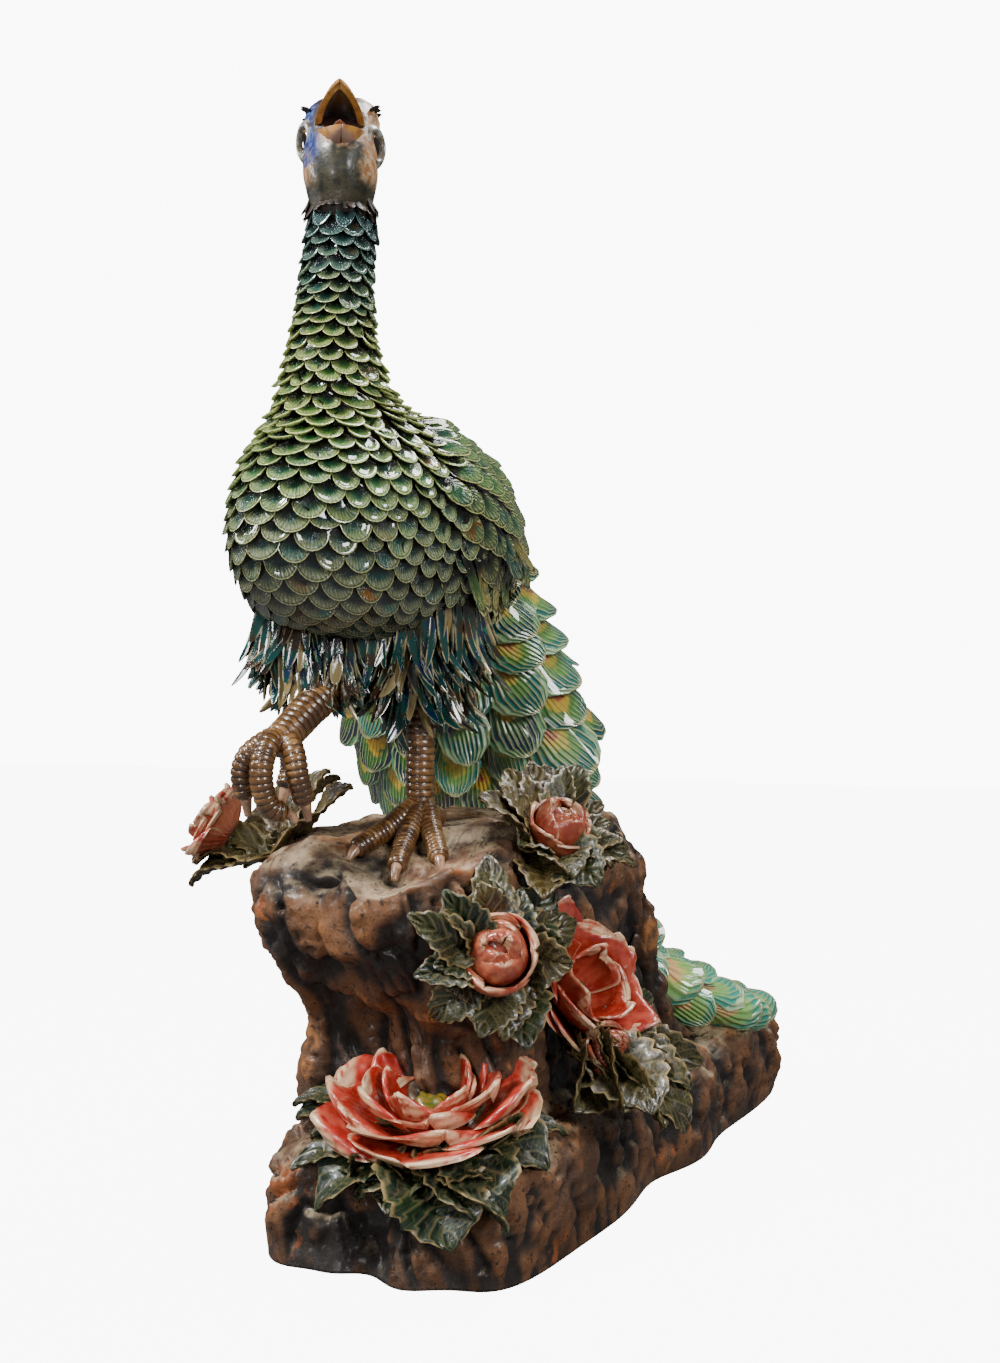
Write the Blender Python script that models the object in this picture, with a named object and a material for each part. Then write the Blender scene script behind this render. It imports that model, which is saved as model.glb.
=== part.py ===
"""Peacock on a rock with peonies, one piece of glazed stoneware, built up by hand and fired whole.

Metres, +Z up. The bird faces -Y and its train falls behind it to +Y. The origin is the middle of the
rock's underside. Rock places are shares of the rock's width, length and height. Bird places are shares
of the bird's height, measured from the sole of the foot that it stands on.
"""

import bmesh
import bpy
import math
import numpy as np

# Rock.
ROCK_WIDTH = 0.270
ROCK_LENGTH = 0.760
ROCK_HEIGHT = 0.360
STEP_HEIGHT = 0.092
FURROW_DEPTH = 0.006

# Bird.
BIRD_HEIGHT = 0.620
FOOT_X = -0.017
FOOT_Y = -0.238
SOLE_SINK = 0.008
SHANK_WIDTH = 0.025
TOE_WIDTH = 0.020
EYE_WIDTH = 0.017
BEAK_THICKNESS = 0.005

# Feathers.
SCALE_WIDTH = 0.034
SCALE_PITCH = 0.0250
SCALE_LIP_SHARE = 0.135
NECK_SCALE_WIDTH = 0.022
TRAIN_PITCH = 0.048
TRAIN_LIP = 0.009
SKIRT_FEATHER_WIDTH = 0.028
SKIRT_FEATHER_LENGTH = 0.040
SKIRT_LIP_SHARE = 0.26

# Leaves and flowers.
LEAF_THICKNESS = 0.007
PEONY_RADIUS = 0.084
SIDE_PEONY_RADIUS = 0.066
BUD_RADIUS = 0.030

GLAZE = (0.16, 0.20, 0.10, 1.0)
GLAZE_ROUGHNESS = 0.25

FOOT = np.array([FOOT_X, FOOT_Y, ROCK_HEIGHT - SOLE_SINK])


def on_rock(x, y, z):
    """A place given in shares of the rock's width, length and height."""
    return np.array([x * ROCK_WIDTH, y * ROCK_LENGTH, z * ROCK_HEIGHT])


def on_step(x, y, rise):
    """A place above the low step of the rock, rise metres over its top."""
    return np.array([x * ROCK_WIDTH, y * ROCK_LENGTH, STEP_HEIGHT + rise])


def on_bird(x, y, z):
    """A place given in shares of the bird's height from the standing foot."""
    return FOOT + BIRD_HEIGHT * np.array([x, y, z])


def smooth(stations, t):
    """The curve through the stations, one to each whole number of t, by Catmull and Rom's rule."""
    rows = np.asarray(stations, float)
    t = np.clip(np.asarray(t, float), 0, len(rows) - 1)
    first = np.minimum(t.astype(int), len(rows) - 2)
    f = (t - first)[..., None]
    before, after = rows[np.maximum(first - 1, 0)], rows[np.minimum(first + 2, len(rows) - 1)]
    start, end = rows[first], rows[first + 1]
    slope_in, slope_out = (end - before) / 2, (after - start) / 2
    return (
        start * (2 * f**3 - 3 * f**2 + 1)
        + slope_in * (f**3 - 2 * f**2 + f)
        + end * (3 * f**2 - 2 * f**3)
        + slope_out * (f**3 - f**2)
    )


def section(centre, across, outward):
    """One station of a tube: its centre and the two half-axes of its oval."""
    return np.concatenate([centre, across, outward])


def on_tube(stations, t, turn):
    """A point on the tube at station t, turn rounds from the outward half-axis."""
    row = smooth(stations, t)
    angle = 2 * np.pi * np.asarray(turn, float)[..., None]
    return row[..., 0:3] + row[..., 3:6] * np.sin(angle) + row[..., 6:9] * np.cos(angle)


def lifted(stations, t, turn, height):
    """The tube's surface raised by height along its normal."""
    t, turn = np.broadcast_arrays(np.asarray(t, float), np.asarray(turn, float))
    step = 0.01
    along = on_tube(stations, t + step, turn) - on_tube(stations, t - step, turn)
    around = on_tube(stations, t, turn + step) - on_tube(stations, t, turn - step)
    normal = np.cross(along, around)
    normal /= np.linalg.norm(normal, axis=-1, keepdims=True) + 1e-12
    from_axis = on_tube(stations, t, turn) - smooth(stations, t)[..., 0:3]
    normal *= np.sign((normal * from_axis).sum(-1, keepdims=True))
    return on_tube(stations, t, turn) + normal * np.asarray(height, float)[..., None]


def path_stations(points, half_widths, side):
    """Round-ish sections along a path. half_widths gives (across, outward) at each point."""
    points = np.asarray(points, float)
    ahead = np.gradient(points, axis=0)
    ahead /= np.linalg.norm(ahead, axis=1, keepdims=True)
    rows = []
    for point, direction, (across, outward) in zip(points, ahead, half_widths):
        level = np.asarray(side, float) - np.dot(side, direction) * direction
        level /= np.linalg.norm(level)
        rows.append(section(point, level * across, np.cross(level, direction) * outward))
    return rows


class Shell:
    """Collects the corners and faces of one closed solid."""

    def __init__(self):
        self.points = []
        self.faces = []

    def add(self, points):
        first = len(self.points)
        self.points.extend(np.asarray(points, float).reshape(-1, 3))
        return list(range(first, len(self.points)))

    def strip(self, ring_a, turns_a, ring_b, turns_b):
        """Triangles between two closed rings, walking round both by their turns."""
        i = j = 0
        while i < len(ring_a) or j < len(ring_b):
            next_a = turns_a[i + 1] if i + 1 < len(turns_a) else turns_a[0] + 1
            next_b = turns_b[j + 1] if j + 1 < len(turns_b) else turns_b[0] + 1
            a, b = ring_a[i % len(ring_a)], ring_b[j % len(ring_b)]
            if j >= len(ring_b) or (i < len(ring_a) and next_a <= next_b):
                i += 1
                self.faces.append((a, ring_a[i % len(ring_a)], b))
            else:
                j += 1
                self.faces.append((a, ring_b[j % len(ring_b)], b))

    def cap(self, ring):
        middle = self.add([np.mean([self.points[k] for k in ring], axis=0)])[0]
        for a, b in zip(ring, ring[1:] + ring[:1]):
            self.faces.append((a, b, middle))


operands = bpy.data.collections.new("joined_pieces")


def solid(name, shell):
    """Turns a shell into a mesh object that faces outwards."""
    mesh = bpy.data.meshes.new(name)
    mesh.from_pydata([tuple(p) for p in shell.points], [], shell.faces)
    work = bmesh.new()
    work.from_mesh(mesh)
    bmesh.ops.recalc_face_normals(work, faces=work.faces)
    if work.calc_volume(signed=True) < 0:
        bmesh.ops.reverse_faces(work, faces=work.faces)
    work.to_mesh(mesh)
    work.free()
    return bpy.data.objects.new(name, mesh)


def joined(name, shell):
    """A solid that the figure's Boolean union takes in."""
    piece = solid(name, shell)
    piece.hide_render = True
    piece.display_type = "WIRE"
    operands.objects.link(piece)
    return piece


def tube(name, stations, sides, cuts):
    """A plain closed tube through its stations, with cuts rings to each stretch."""
    shell = Shell()
    turns = list(np.arange(sides) / sides)
    rings = [
        shell.add(on_tube(stations, np.full(sides, t), np.array(turns)))
        for t in np.linspace(0, len(stations) - 1, (len(stations) - 1) * cuts + 1)
    ]
    for lower, upper in zip(rings, rings[1:]):
        shell.strip(lower, turns, upper, turns)
    shell.cap(rings[0])
    shell.cap(rings[-1])
    return joined(name, shell)


def rows_along(stations, start, end, pitch):
    """Stations spaced by pitch, measured along the surface's outward line."""
    fine = np.linspace(start, end, 400)
    line = on_tube(stations, fine, np.zeros(400))
    length = np.concatenate([[0], np.cumsum(np.linalg.norm(np.diff(line, axis=0), axis=1))])
    count = max(3, round(length[-1] / pitch))
    return np.interp(np.arange(1, count) * length[-1] / count, length, fine)


def girth(stations, t, spread):
    """The length of the surface's ring at t over the given spread of turns."""
    ring = on_tube(stations, np.full(64, t), np.linspace(-spread / 2, spread / 2, 64))
    return float(np.linalg.norm(np.diff(ring, axis=0), axis=1).sum())


def no_swell(points):
    """Leaves a tube as it is."""
    return np.zeros(points.shape[:-1])


def scaled_tube(name, stations, start, end, pitch, count_at, lip_share, swell=no_swell):
    """A closed tube covered with rows of overlapping scales whose tips stand off by a share of their width.

    count_at gives the number of scales round the tube at a station, and swell gives the extra height of
    the tube's surface at a set of points on it.
    """
    shell = Shell()
    rows = rows_along(stations, start, end, pitch)
    first = max(8, count_at(start))
    below_turns = list(np.arange(first) / first)
    below = shell.add(on_tube(stations, np.full(first, start), below_turns))
    shell.cap(below)
    spacing = np.gradient(rows)

    def raised(t, turns, height):
        t = np.full(len(turns), t)
        return shell.add(lifted(stations, t, turns, height + swell(on_tube(stations, t, turns))))

    for number, (t, gap) in enumerate(zip(rows, spacing)):
        count = count_at(t)
        lip = lip_share * girth(stations, t, 1.0) / count
        notch_turns = (np.arange(count) + 0.5 * (number % 2)) / count
        tip_turns = notch_turns + 0.5 / count
        notches = raised(t - 0.42 * gap, notch_turns, 0.25 * lip)
        tips = raised(t + 0.12 * gap, tip_turns, lip)
        under = raised(t + 0.24 * gap, tip_turns, 0.0)
        upper, lower, turns = [], [], []
        for k in range(count):
            upper += [notches[k], tips[k]]
            lower += [notches[k], under[k]]
            turns += [notch_turns[k], tip_turns[k]]
            shell.faces.append((notches[k], tips[k], under[k]))
            shell.faces.append((tips[k], notches[(k + 1) % count], under[k]))
        shell.strip(below, below_turns, upper, turns)
        below, below_turns = lower, turns
    final = max(8, count_at(end))
    last_turns = list(np.arange(final) / final)
    last = shell.add(on_tube(stations, np.full(final, end), last_turns))
    shell.strip(below, below_turns, last, last_turns)
    shell.cap(last)
    return joined(name, shell)


# Rock: a long low slab with a column and a jutting ledge at its front, where the bird stands.


def rounded_outline(left, right, front, back, squareness, turns):
    """A closed outline with its own reach to each side. squareness 2 is an oval, more is squarer."""
    c, s = np.cos(2 * np.pi * turns), np.sin(2 * np.pi * turns)
    reach = (np.abs(c) ** squareness + np.abs(s) ** squareness) ** (-1 / squareness)
    x = c * reach * np.where(c > 0, right, left)
    y = s * reach * np.where(s > 0, back, front)
    return x, y


def rock_block(name, sections, sides):
    """Stacked outlines, each (height, left, right, front, back, squareness), with furrows down the sides.

    left and right are shares of the rock's width, front and back are shares of its length.
    """
    shell = Shell()
    turns = np.arange(sides) / sides
    rings = []
    for height, left, right, front, back, squareness in sections:
        x, y = rounded_outline(left, right, front, back, squareness, turns)
        slant = 0.35 * height / ROCK_HEIGHT
        wave = np.sin(2 * np.pi * (9 * turns + slant)) + 0.6 * np.sin(2 * np.pi * (14 * turns - slant))
        length = np.hypot(x * ROCK_WIDTH, y * ROCK_LENGTH)
        fade = min(1.0, 6 * (1.0 - height / ROCK_HEIGHT))
        swell = 1 + fade * FURROW_DEPTH * wave / np.maximum(length, 0.05)
        height_here = np.full(sides, height)
        rings.append(shell.add(np.stack([x * ROCK_WIDTH * swell, y * ROCK_LENGTH * swell, height_here], -1)))
    turns = list(turns)
    for lower, upper in zip(rings, rings[1:]):
        shell.strip(lower, turns, upper, turns)
    shell.faces.append(tuple(rings[0]))
    shell.cap(rings[-1])
    return shell


SLAB = [
    (0.0, 0.425, 0.510, 0.505, 0.525, 8.0),
    (0.45 * STEP_HEIGHT, 0.435, 0.530, 0.508, 0.538, 8.0),
    (0.85 * STEP_HEIGHT, 0.430, 0.515, 0.490, 0.532, 7.0),
    (STEP_HEIGHT, 0.400, 0.455, 0.455, 0.505, 6.0),
    (1.08 * STEP_HEIGHT, 0.300, 0.300, 0.380, 0.440, 4.0),
]
COLUMN = [
    (0.5 * STEP_HEIGHT, 0.430, 0.400, 0.465, 0.250, 7.0),
    (0.33 * ROCK_HEIGHT, 0.470, 0.360, 0.425, 0.180, 7.0),
    (0.54 * ROCK_HEIGHT, 0.480, 0.350, 0.415, 0.110, 6.0),
    (0.62 * ROCK_HEIGHT, 0.545, 0.350, 0.455, 0.090, 4.0),
    (0.72 * ROCK_HEIGHT, 0.630, 0.350, 0.495, 0.070, 3.5),
    (0.85 * ROCK_HEIGHT, 0.650, 0.340, 0.500, 0.060, 3.5),
    (0.93 * ROCK_HEIGHT, 0.590, 0.300, 0.465, 0.055, 3.5),
    (0.98 * ROCK_HEIGHT, 0.430, 0.240, 0.390, 0.050, 3.0),
    (ROCK_HEIGHT, 0.260, 0.150, 0.310, 0.040, 2.5),
]


def rock_column():
    joined("rock_column", rock_block("rock_column", COLUMN, 20))


# Body: the breast, back and neck are one gourd shape, with a ring of scales at each row.

# Centre x, centre y, height, half-width, half-length, from the neck's top down to the belly.
BODY = [
    (-0.047, -0.135, 0.860, 0.044, 0.046),
    (-0.047, -0.145, 0.795, 0.042, 0.046),
    (-0.047, -0.153, 0.731, 0.044, 0.048),
    (-0.047, -0.158, 0.674, 0.051, 0.056),
    (-0.048, -0.156, 0.632, 0.061, 0.066),
    (-0.053, -0.145, 0.597, 0.072, 0.084),
    (-0.055, -0.105, 0.573, 0.086, 0.128),
    (-0.057, -0.065, 0.545, 0.106, 0.184),
    (-0.059, -0.029, 0.505, 0.132, 0.254),
    (-0.061, -0.015, 0.456, 0.147, 0.292),
    (-0.063, -0.011, 0.400, 0.151, 0.300),
    (-0.063, -0.016, 0.347, 0.141, 0.280),
    (-0.063, -0.023, 0.303, 0.120, 0.233),
    (-0.065, -0.029, 0.274, 0.077, 0.153),
    (-0.065, -0.032, 0.263, 0.024, 0.048),
]
NECK_END = 4.0
BODY_END = 12.4


def body_stations():
    return [
        section(on_bird(x, y, z), [BIRD_HEIGHT * a, 0, 0], [0, -BIRD_HEIGHT * b, 0]) for x, y, z, a, b in BODY
    ]


# A folded wing swells each flank. Its line from shoulder to tip: y, height and half-height, shares of the bird.
WING = [
    (-0.100, 0.500, 0.050),
    (-0.020, 0.487, 0.085),
    (0.090, 0.480, 0.104),
    (0.190, 0.462, 0.100),
    (0.270, 0.430, 0.070),
]
WING_RISE = 0.009


def wing_swell(points):
    """How far the folded wings stand off the flanks at points of the body."""
    y = (points[..., 1] - FOOT[1]) / BIRD_HEIGHT
    z = (points[..., 2] - FOOT[2]) / BIRD_HEIGHT
    line = np.array(WING)
    middle = np.interp(y, line[:, 0], line[:, 1])
    half = np.interp(y, line[:, 0], line[:, 2])
    ends = np.clip((y - WING[0][0]) / 0.05, 0, 1) * np.clip((WING[-1][0] + 0.06 - y) / 0.06, 0, 1)
    edge = np.clip(2.2 * (1 - np.abs(z - middle) / half), 0, 1)
    return WING_RISE * ends * edge * edge * (3 - 2 * edge)


def body():
    stations = body_stations()

    def count_at(t):
        share = min(1.0, max(0.0, (t - NECK_END + 1) / 3))
        width = NECK_SCALE_WIDTH + (SCALE_WIDTH - NECK_SCALE_WIDTH) * share
        return max(7, round(girth(stations, t, 1.0) / width))

    scaled_tube("body", stations, 0, BODY_END, SCALE_PITCH, count_at, SCALE_LIP_SHARE, wing_swell)


# Train: long feathers that fall from the rump behind the rock and fan out over the slab.

# Centre (on the bird, then on the rock), half-width and half-thickness as shares of the rock's width.
TRAIN_ON_BIRD = [
    (-0.072, 0.225, 0.440, 0.165, 0.110),
    (-0.082, 0.262, 0.372, 0.235, 0.150),
    (-0.096, 0.300, 0.290, 0.320, 0.190),
    (-0.118, 0.334, 0.200, 0.445, 0.220),
    (-0.120, 0.374, 0.102, 0.465, 0.210),
]
TRAIN_ON_ROCK = [
    (-0.325, 0.030, 0.972, 0.415, 0.180),
    (-0.270, 0.070, 0.778, 0.375, 0.150),
    (-0.190, 0.120, 0.600, 0.375, 0.130),
    (-0.080, 0.191, 0.440, 0.415, 0.110),
    (0.010, 0.270, 0.345, 0.455, 0.090),
    (0.040, 0.362, 0.295, 0.465, 0.075),
    (0.044, 0.454, 0.270, 0.420, 0.055),
]
TRAIN_SPREAD = 0.49
TRAIN_EDGE = 2
TRAIN_FEATHERS = 6
TRAIN_FREE_END = 4.6


def train_stations():
    """Sections that stay level from side to side and stand square to the train's fall."""
    points = [on_bird(x, y, z) for x, y, z, w, t in TRAIN_ON_BIRD]
    points += [on_rock(x, y, z) for x, y, z, w, t in TRAIN_ON_ROCK]
    fall = np.gradient(np.array(points), axis=0) * [0, 1, 1]
    fall /= np.linalg.norm(fall, axis=1, keepdims=True)
    rows = []
    for point, (_, ahead_y, ahead_z), (x, y, z, w, t) in zip(points, fall, TRAIN_ON_BIRD + TRAIN_ON_ROCK):
        rows.append(section(point, [ROCK_WIDTH * w, 0, 0], ROCK_WIDTH * t * np.array([0, -ahead_z, ahead_y])))
    return rows


def train():
    """Rows of round-ended feathers: all round where it hangs free, over its outer side where it rests."""
    stations = train_stations()
    shell = Shell()
    rows = rows_along(stations, 0.2, len(stations) - 1.0, TRAIN_PITCH)
    first_turns = list(np.linspace(-0.5, 0.5, 12, endpoint=False))
    below = shell.add(on_tube(stations, np.full(len(first_turns), 0.0), first_turns))
    below_turns = first_turns
    shell.cap(below)
    spacing = np.gradient(rows)
    for number, (t, gap) in enumerate(zip(rows, spacing)):
        hanging = t < TRAIN_FREE_END
        count = 2 * TRAIN_FEATHERS if hanging else TRAIN_FEATHERS
        spread = 1.0 if hanging else TRAIN_SPREAD
        parts = np.arange(count * (TRAIN_EDGE + 1) + (not hanging)) / (TRAIN_EDGE + 1)
        shift = 0.5 * (number % 2)
        bulge = np.abs(np.sin(np.pi * parts))
        if hanging:
            parts = parts + shift
        elif shift:
            kept = np.abs(parts - count / 2) < count / 2 - 0.05
            parts = np.concatenate([[0.0, 0.5 - 1 / (TRAIN_EDGE + 1), 0.5], parts[kept] + shift, [count]])
            parts = np.unique(np.minimum(parts, count))
            bulge = np.abs(np.sin(np.pi * (parts - shift)))
            bulge[[0, -1]] = 0.0
        turns = -spread / 2 + parts * spread / count
        edge_t = t + (0.75 * bulge - 0.45) * gap
        edge = shell.add(lifted(stations, edge_t, turns, TRAIN_LIP * (0.15 + 0.85 * bulge)))
        under = list(edge)
        for k in np.nonzero(bulge > 0.01)[0]:
            under[k] = shell.add(lifted(stations, edge_t[k : k + 1] + 0.08 * gap, turns[k : k + 1], np.zeros(1)))[0]
        pairs = zip(range(len(edge)), list(range(1, len(edge))) + ([0] if hanging else []))
        for k, after in pairs:
            quad = [edge[k], edge[after], under[after], under[k]]
            corners = [c for n, c in enumerate(quad) if c not in quad[:n]]
            shell.faces.append(tuple(corners[:3]))
            if len(corners) == 4:
                shell.faces.append((corners[0], corners[2], corners[3]))
        inner_turns = [] if hanging else [0.35, 0.5, 0.65]
        inner = shell.add(on_tube(stations, np.full(len(inner_turns), t), inner_turns)) if inner_turns else []
        shell.strip(below, below_turns, edge + inner, list(turns) + inner_turns)
        below, below_turns = under + inner, list(turns) + inner_turns
    last = shell.add(on_tube(stations, np.full(len(first_turns), len(stations) - 1.0), first_turns))
    shell.strip(below, below_turns, last, first_turns)
    shell.cap(last)
    joined("train", shell)


# Head: an egg under an open beak that points up and out, with bulging eyes and a small crest laid back.

HEAD_TURN = math.radians(26)
HEAD_FORWARD = np.array([math.sin(HEAD_TURN), -math.cos(HEAD_TURN), 0.0])
HEAD_SIDE = np.array([math.cos(HEAD_TURN), math.sin(HEAD_TURN), 0.0])

# Forward shift, height, half-width and half-length of the head, as shares of the bird's height.
HEAD = [
    (0.000, -0.015, 0.044, 0.044),
    (0.004, 0.008, 0.046, 0.052),
    (0.006, 0.040, 0.052, 0.060),
    (0.006, 0.072, 0.053, 0.060),
    (0.000, 0.098, 0.048, 0.054),
    (-0.008, 0.116, 0.034, 0.040),
    (-0.012, 0.124, 0.014, 0.018),
]
HEAD_BASE = (-0.047, -0.140, 0.853)


def on_head(forward, side, up):
    """A place given from the head's base, in shares of the bird's height."""
    return on_bird(*HEAD_BASE) + BIRD_HEIGHT * (forward * HEAD_FORWARD + side * HEAD_SIDE + np.array([0, 0, up]))


def head():
    stations = [
        section(on_head(shift, 0, up), BIRD_HEIGHT * w * HEAD_SIDE, BIRD_HEIGHT * d * HEAD_FORWARD)
        for shift, up, w, d in HEAD
    ]
    tube("head", stations, 12, 1)
    for side in (1, -1):
        centre = on_head(0.014, side * 0.050, 0.094)
        half = EYE_WIDTH / 2
        eye = [
            section(centre + HEAD_SIDE * side * half * k, [0, 0, 1.3 * half * r], HEAD_FORWARD * half * r)
            for k, r in ((-1.0, 0.9), (0.2, 1.0), (0.8, 0.6), (1.0, 0.2))
        ]
        tube("eye_left" if side > 0 else "eye_right", eye, 6, 1)


def mandible(name, rise, tip_rise, reach, half_width, hollow):
    """A beak half: a trough from cheek to cheek that narrows to its tip. hollow is +1 for the lower, -1 for the upper."""
    shell = Shell()
    rows = []
    for share, width in ((-0.35, 0.80), (0.10, 1.00), (0.55, 0.72), (0.85, 0.36), (1.00, 0.10)):
        forward = 0.040 + reach * share
        up = rise + tip_rise * max(0.0, share)
        ring = []
        for k in (-1, -0.5, 0, 0.5, 1):
            sag = hollow * 0.42 * half_width * width * (1 - abs(k) ** 2)
            ring.append(on_head(forward, k * half_width * width, up - sag))
        inner = [p + np.array([0, 0, hollow * BEAK_THICKNESS * (0.4 + 0.6 * width)]) for p in ring[1:-1]]
        rows.append(shell.add(ring + inner[::-1]))
    turns = list(np.arange(len(rows[0])) / len(rows[0]))
    for lower, upper in zip(rows, rows[1:]):
        shell.strip(lower, turns, upper, turns)
    for ring in (rows[0], rows[-1]):
        left, right = ring[0], ring[4]
        outer, inner = ring[1:4], ring[5:8][::-1]
        shell.faces += [(left, outer[0], inner[0]), (right, outer[2], inner[2])]
        for k in (0, 1):
            shell.faces += [(outer[k], outer[k + 1], inner[k + 1]), (outer[k], inner[k + 1], inner[k])]
    joined(name, shell)


def beak():
    mandible("beak_upper", 0.094, 0.052, 0.078, 0.036, -1)
    mandible("beak_lower", 0.091, -0.016, 0.070, 0.036, 1)


def leaf_solid(name, root, tip, half_width, face, thickness, droop=0.0, shares=((0.3, 0.8), (0.6, 1.0), (0.85, 0.6))):
    """A blade from root to tip: two skins that meet at its edge, folded along the middle.

    face is the way its upper skin looks, droop bends its tip against face, shares are (length, width) pairs.
    """
    root, tip, face = (np.asarray(v, float) for v in (root, tip, face))
    run = tip - root
    length = np.linalg.norm(run)
    across = np.cross(run, face)
    across /= np.linalg.norm(across)
    up = np.cross(across, run) / length
    shell = Shell()

    def spine(share):
        return root + run * share + up * droop * length * 4 * share * (1 - share)

    stem = half_width * 0.35
    rows = [[spine(0) - across * stem, spine(0) + up * thickness / 2, spine(0) + across * stem, spine(0) - up * thickness / 2]]
    for share, width in shares:
        middle = spine(share)
        lift = up * 0.25 * half_width * width
        left, right = middle - across * half_width * width + lift, middle + across * half_width * width + lift
        rows.append([left, middle + up * thickness / 2, right, middle - up * thickness / 2])
    rings = [shell.add(row) for row in rows]
    turns = [0.0, 0.25, 0.5, 0.75]
    for lower, upper in zip(rings, rings[1:]):
        shell.strip(lower, turns, upper, turns)
    point = shell.add([spine(1.0)])[0]
    for a, b in zip(rings[-1], rings[-1][1:] + rings[-1][:1]):
        shell.faces.append((a, b, point))
    shell.faces += [(rings[0][0], rings[0][1], rings[0][2]), (rings[0][0], rings[0][2], rings[0][3])]
    return joined(name, shell)


CREST_FEATHERS = 5


def crest():
    """Short feathers laid back over the crown, fanned from side to side."""
    for k in range(CREST_FEATHERS):
        spread = (k / (CREST_FEATHERS - 1) - 0.5) * math.radians(150)
        out = -HEAD_FORWARD * math.cos(spread) + HEAD_SIDE * math.sin(spread)
        root = on_head(-0.006, 0, 0.100) + BIRD_HEIGHT * 0.020 * out
        tip = root + BIRD_HEIGHT * (0.044 * out + np.array([0, 0, 0.012]))
        leaf_solid(f"crest_{k}", root, tip, 0.009, (0, 0, 1), 0.005, shares=((0.55, 1.0),))


# Legs: the left one stands, the right one is lifted with its toes hanging.


def leg_path(name, places, half_width, taper, sides=8):
    points = [on_bird(*p) for p in places]
    count = len(points)
    widths = [(half_width * (1 + (taper - 1) * k / (count - 1)),) * 2 for k in range(count)]
    tube(name, path_stations(points, widths, (0.9, 0.3, 0.1)), sides, 1)


def toe(name, places):
    """A ringed toe that ends in a blunt claw."""
    points = [on_bird(*p) for p in places]
    count = len(points)
    widths = [(TOE_WIDTH / 2 * (1.0 - 0.18 * k / (count - 1)),) * 2 for k in range(count)]
    widths[-1] = (0.22 * TOE_WIDTH,) * 2
    tube(name, path_stations(points, widths, (0.8, 0.2, 0.5)), 5, 1)


STANDING_TOES = [
    [(0.000, 0.000, 0.020), (0.016, -0.050, 0.006), (0.032, -0.100, -0.018), (0.041, -0.136, -0.036)],
    [(0.000, 0.000, 0.020), (-0.014, -0.042, 0.008), (-0.030, -0.084, -0.008), (-0.044, -0.116, -0.024)],
    [(0.000, 0.000, 0.020), (0.034, -0.030, 0.008), (0.064, -0.062, -0.018), (0.084, -0.088, -0.037)],
    [(0.000, 0.000, 0.020), (-0.002, 0.035, 0.010), (-0.004, 0.066, 0.002)],
]
RAISED_TOES = [
    [(-0.080, -0.258, 0.128), (-0.099, -0.270, 0.118), (-0.111, -0.279, 0.093), (-0.113, -0.271, 0.053)],
    [(-0.073, -0.262, 0.130), (-0.070, -0.292, 0.110), (-0.070, -0.297, 0.075), (-0.066, -0.284, 0.042), (-0.054, -0.266, 0.036)],
    [(-0.068, -0.250, 0.130), (-0.048, -0.262, 0.112), (-0.039, -0.262, 0.084), (-0.034, -0.250, 0.047)],
    [(-0.073, -0.245, 0.128), (-0.079, -0.218, 0.115), (-0.089, -0.200, 0.089), (-0.092, -0.210, 0.062)],
]


def legs():
    shank = SHANK_WIDTH / 2
    leg_path("leg_standing", [(0.0, 0.0, -0.01), (0.0, 0.0, 0.08), (0.0, 0.0, 0.17), (-0.01, 0.0, 0.29)], shank, 1.05)
    leg_path(
        "leg_raised", [(-0.074, -0.262, 0.122), (-0.064, -0.205, 0.163), (-0.060, -0.150, 0.205), (-0.085, -0.084, 0.310)],
        1.1 * shank, 1.2,
    )
    for k, places in enumerate(STANDING_TOES):
        toe(f"toe_standing_{k}", places)
    for k, places in enumerate(RAISED_TOES):
        toe(f"toe_raised_{k}", places)


# Skirt: loose pointed feathers hang in tiers from the belly and from each thigh.

# Centre x and y, height, half-width and half-length of the belly's skirt and of each thigh, shares of the bird.
BELLY_SKIRT = [
    (-0.065, -0.022, 0.365, 0.130, 0.250),
    (-0.065, -0.026, 0.310, 0.132, 0.238),
    (-0.062, -0.034, 0.250, 0.122, 0.190),
    (-0.058, -0.038, 0.195, 0.102, 0.150),
]
THIGHS = {
    "thigh_standing": [(-0.020, 0.006, 0.300, 0.070, 0.085), (-0.008, 0.003, 0.220, 0.055, 0.065), (0.0, 0.0, 0.145, 0.036, 0.040)],
    "thigh_raised": [(-0.100, -0.080, 0.300, 0.070, 0.090), (-0.085, -0.110, 0.230, 0.058, 0.070), (-0.072, -0.135, 0.175, 0.040, 0.045)],
}


def hanging_feathers(name, places, pitch, width):
    """A tapering tuft hung with tiers of narrow pointed feathers."""
    stations = [
        section(on_bird(x, y, z), [BIRD_HEIGHT * a, 0, 0], [0, -BIRD_HEIGHT * b, 0]) for x, y, z, a, b in places
    ]
    count = round(girth(stations, 0.5 * (len(places) - 1), 1.0) / width)
    scaled_tube(name, stations, 0, len(places) - 1, pitch, lambda t: count, SKIRT_LIP_SHARE)


def skirt():
    hanging_feathers("skirt_belly", BELLY_SKIRT, SKIRT_FEATHER_LENGTH, SKIRT_FEATHER_WIDTH)
    for name, places in THIGHS.items():
        hanging_feathers(name, places, SKIRT_FEATHER_LENGTH, SKIRT_FEATHER_WIDTH)


# Peonies and their leaves.


PETAL_EDGE = 3


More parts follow.
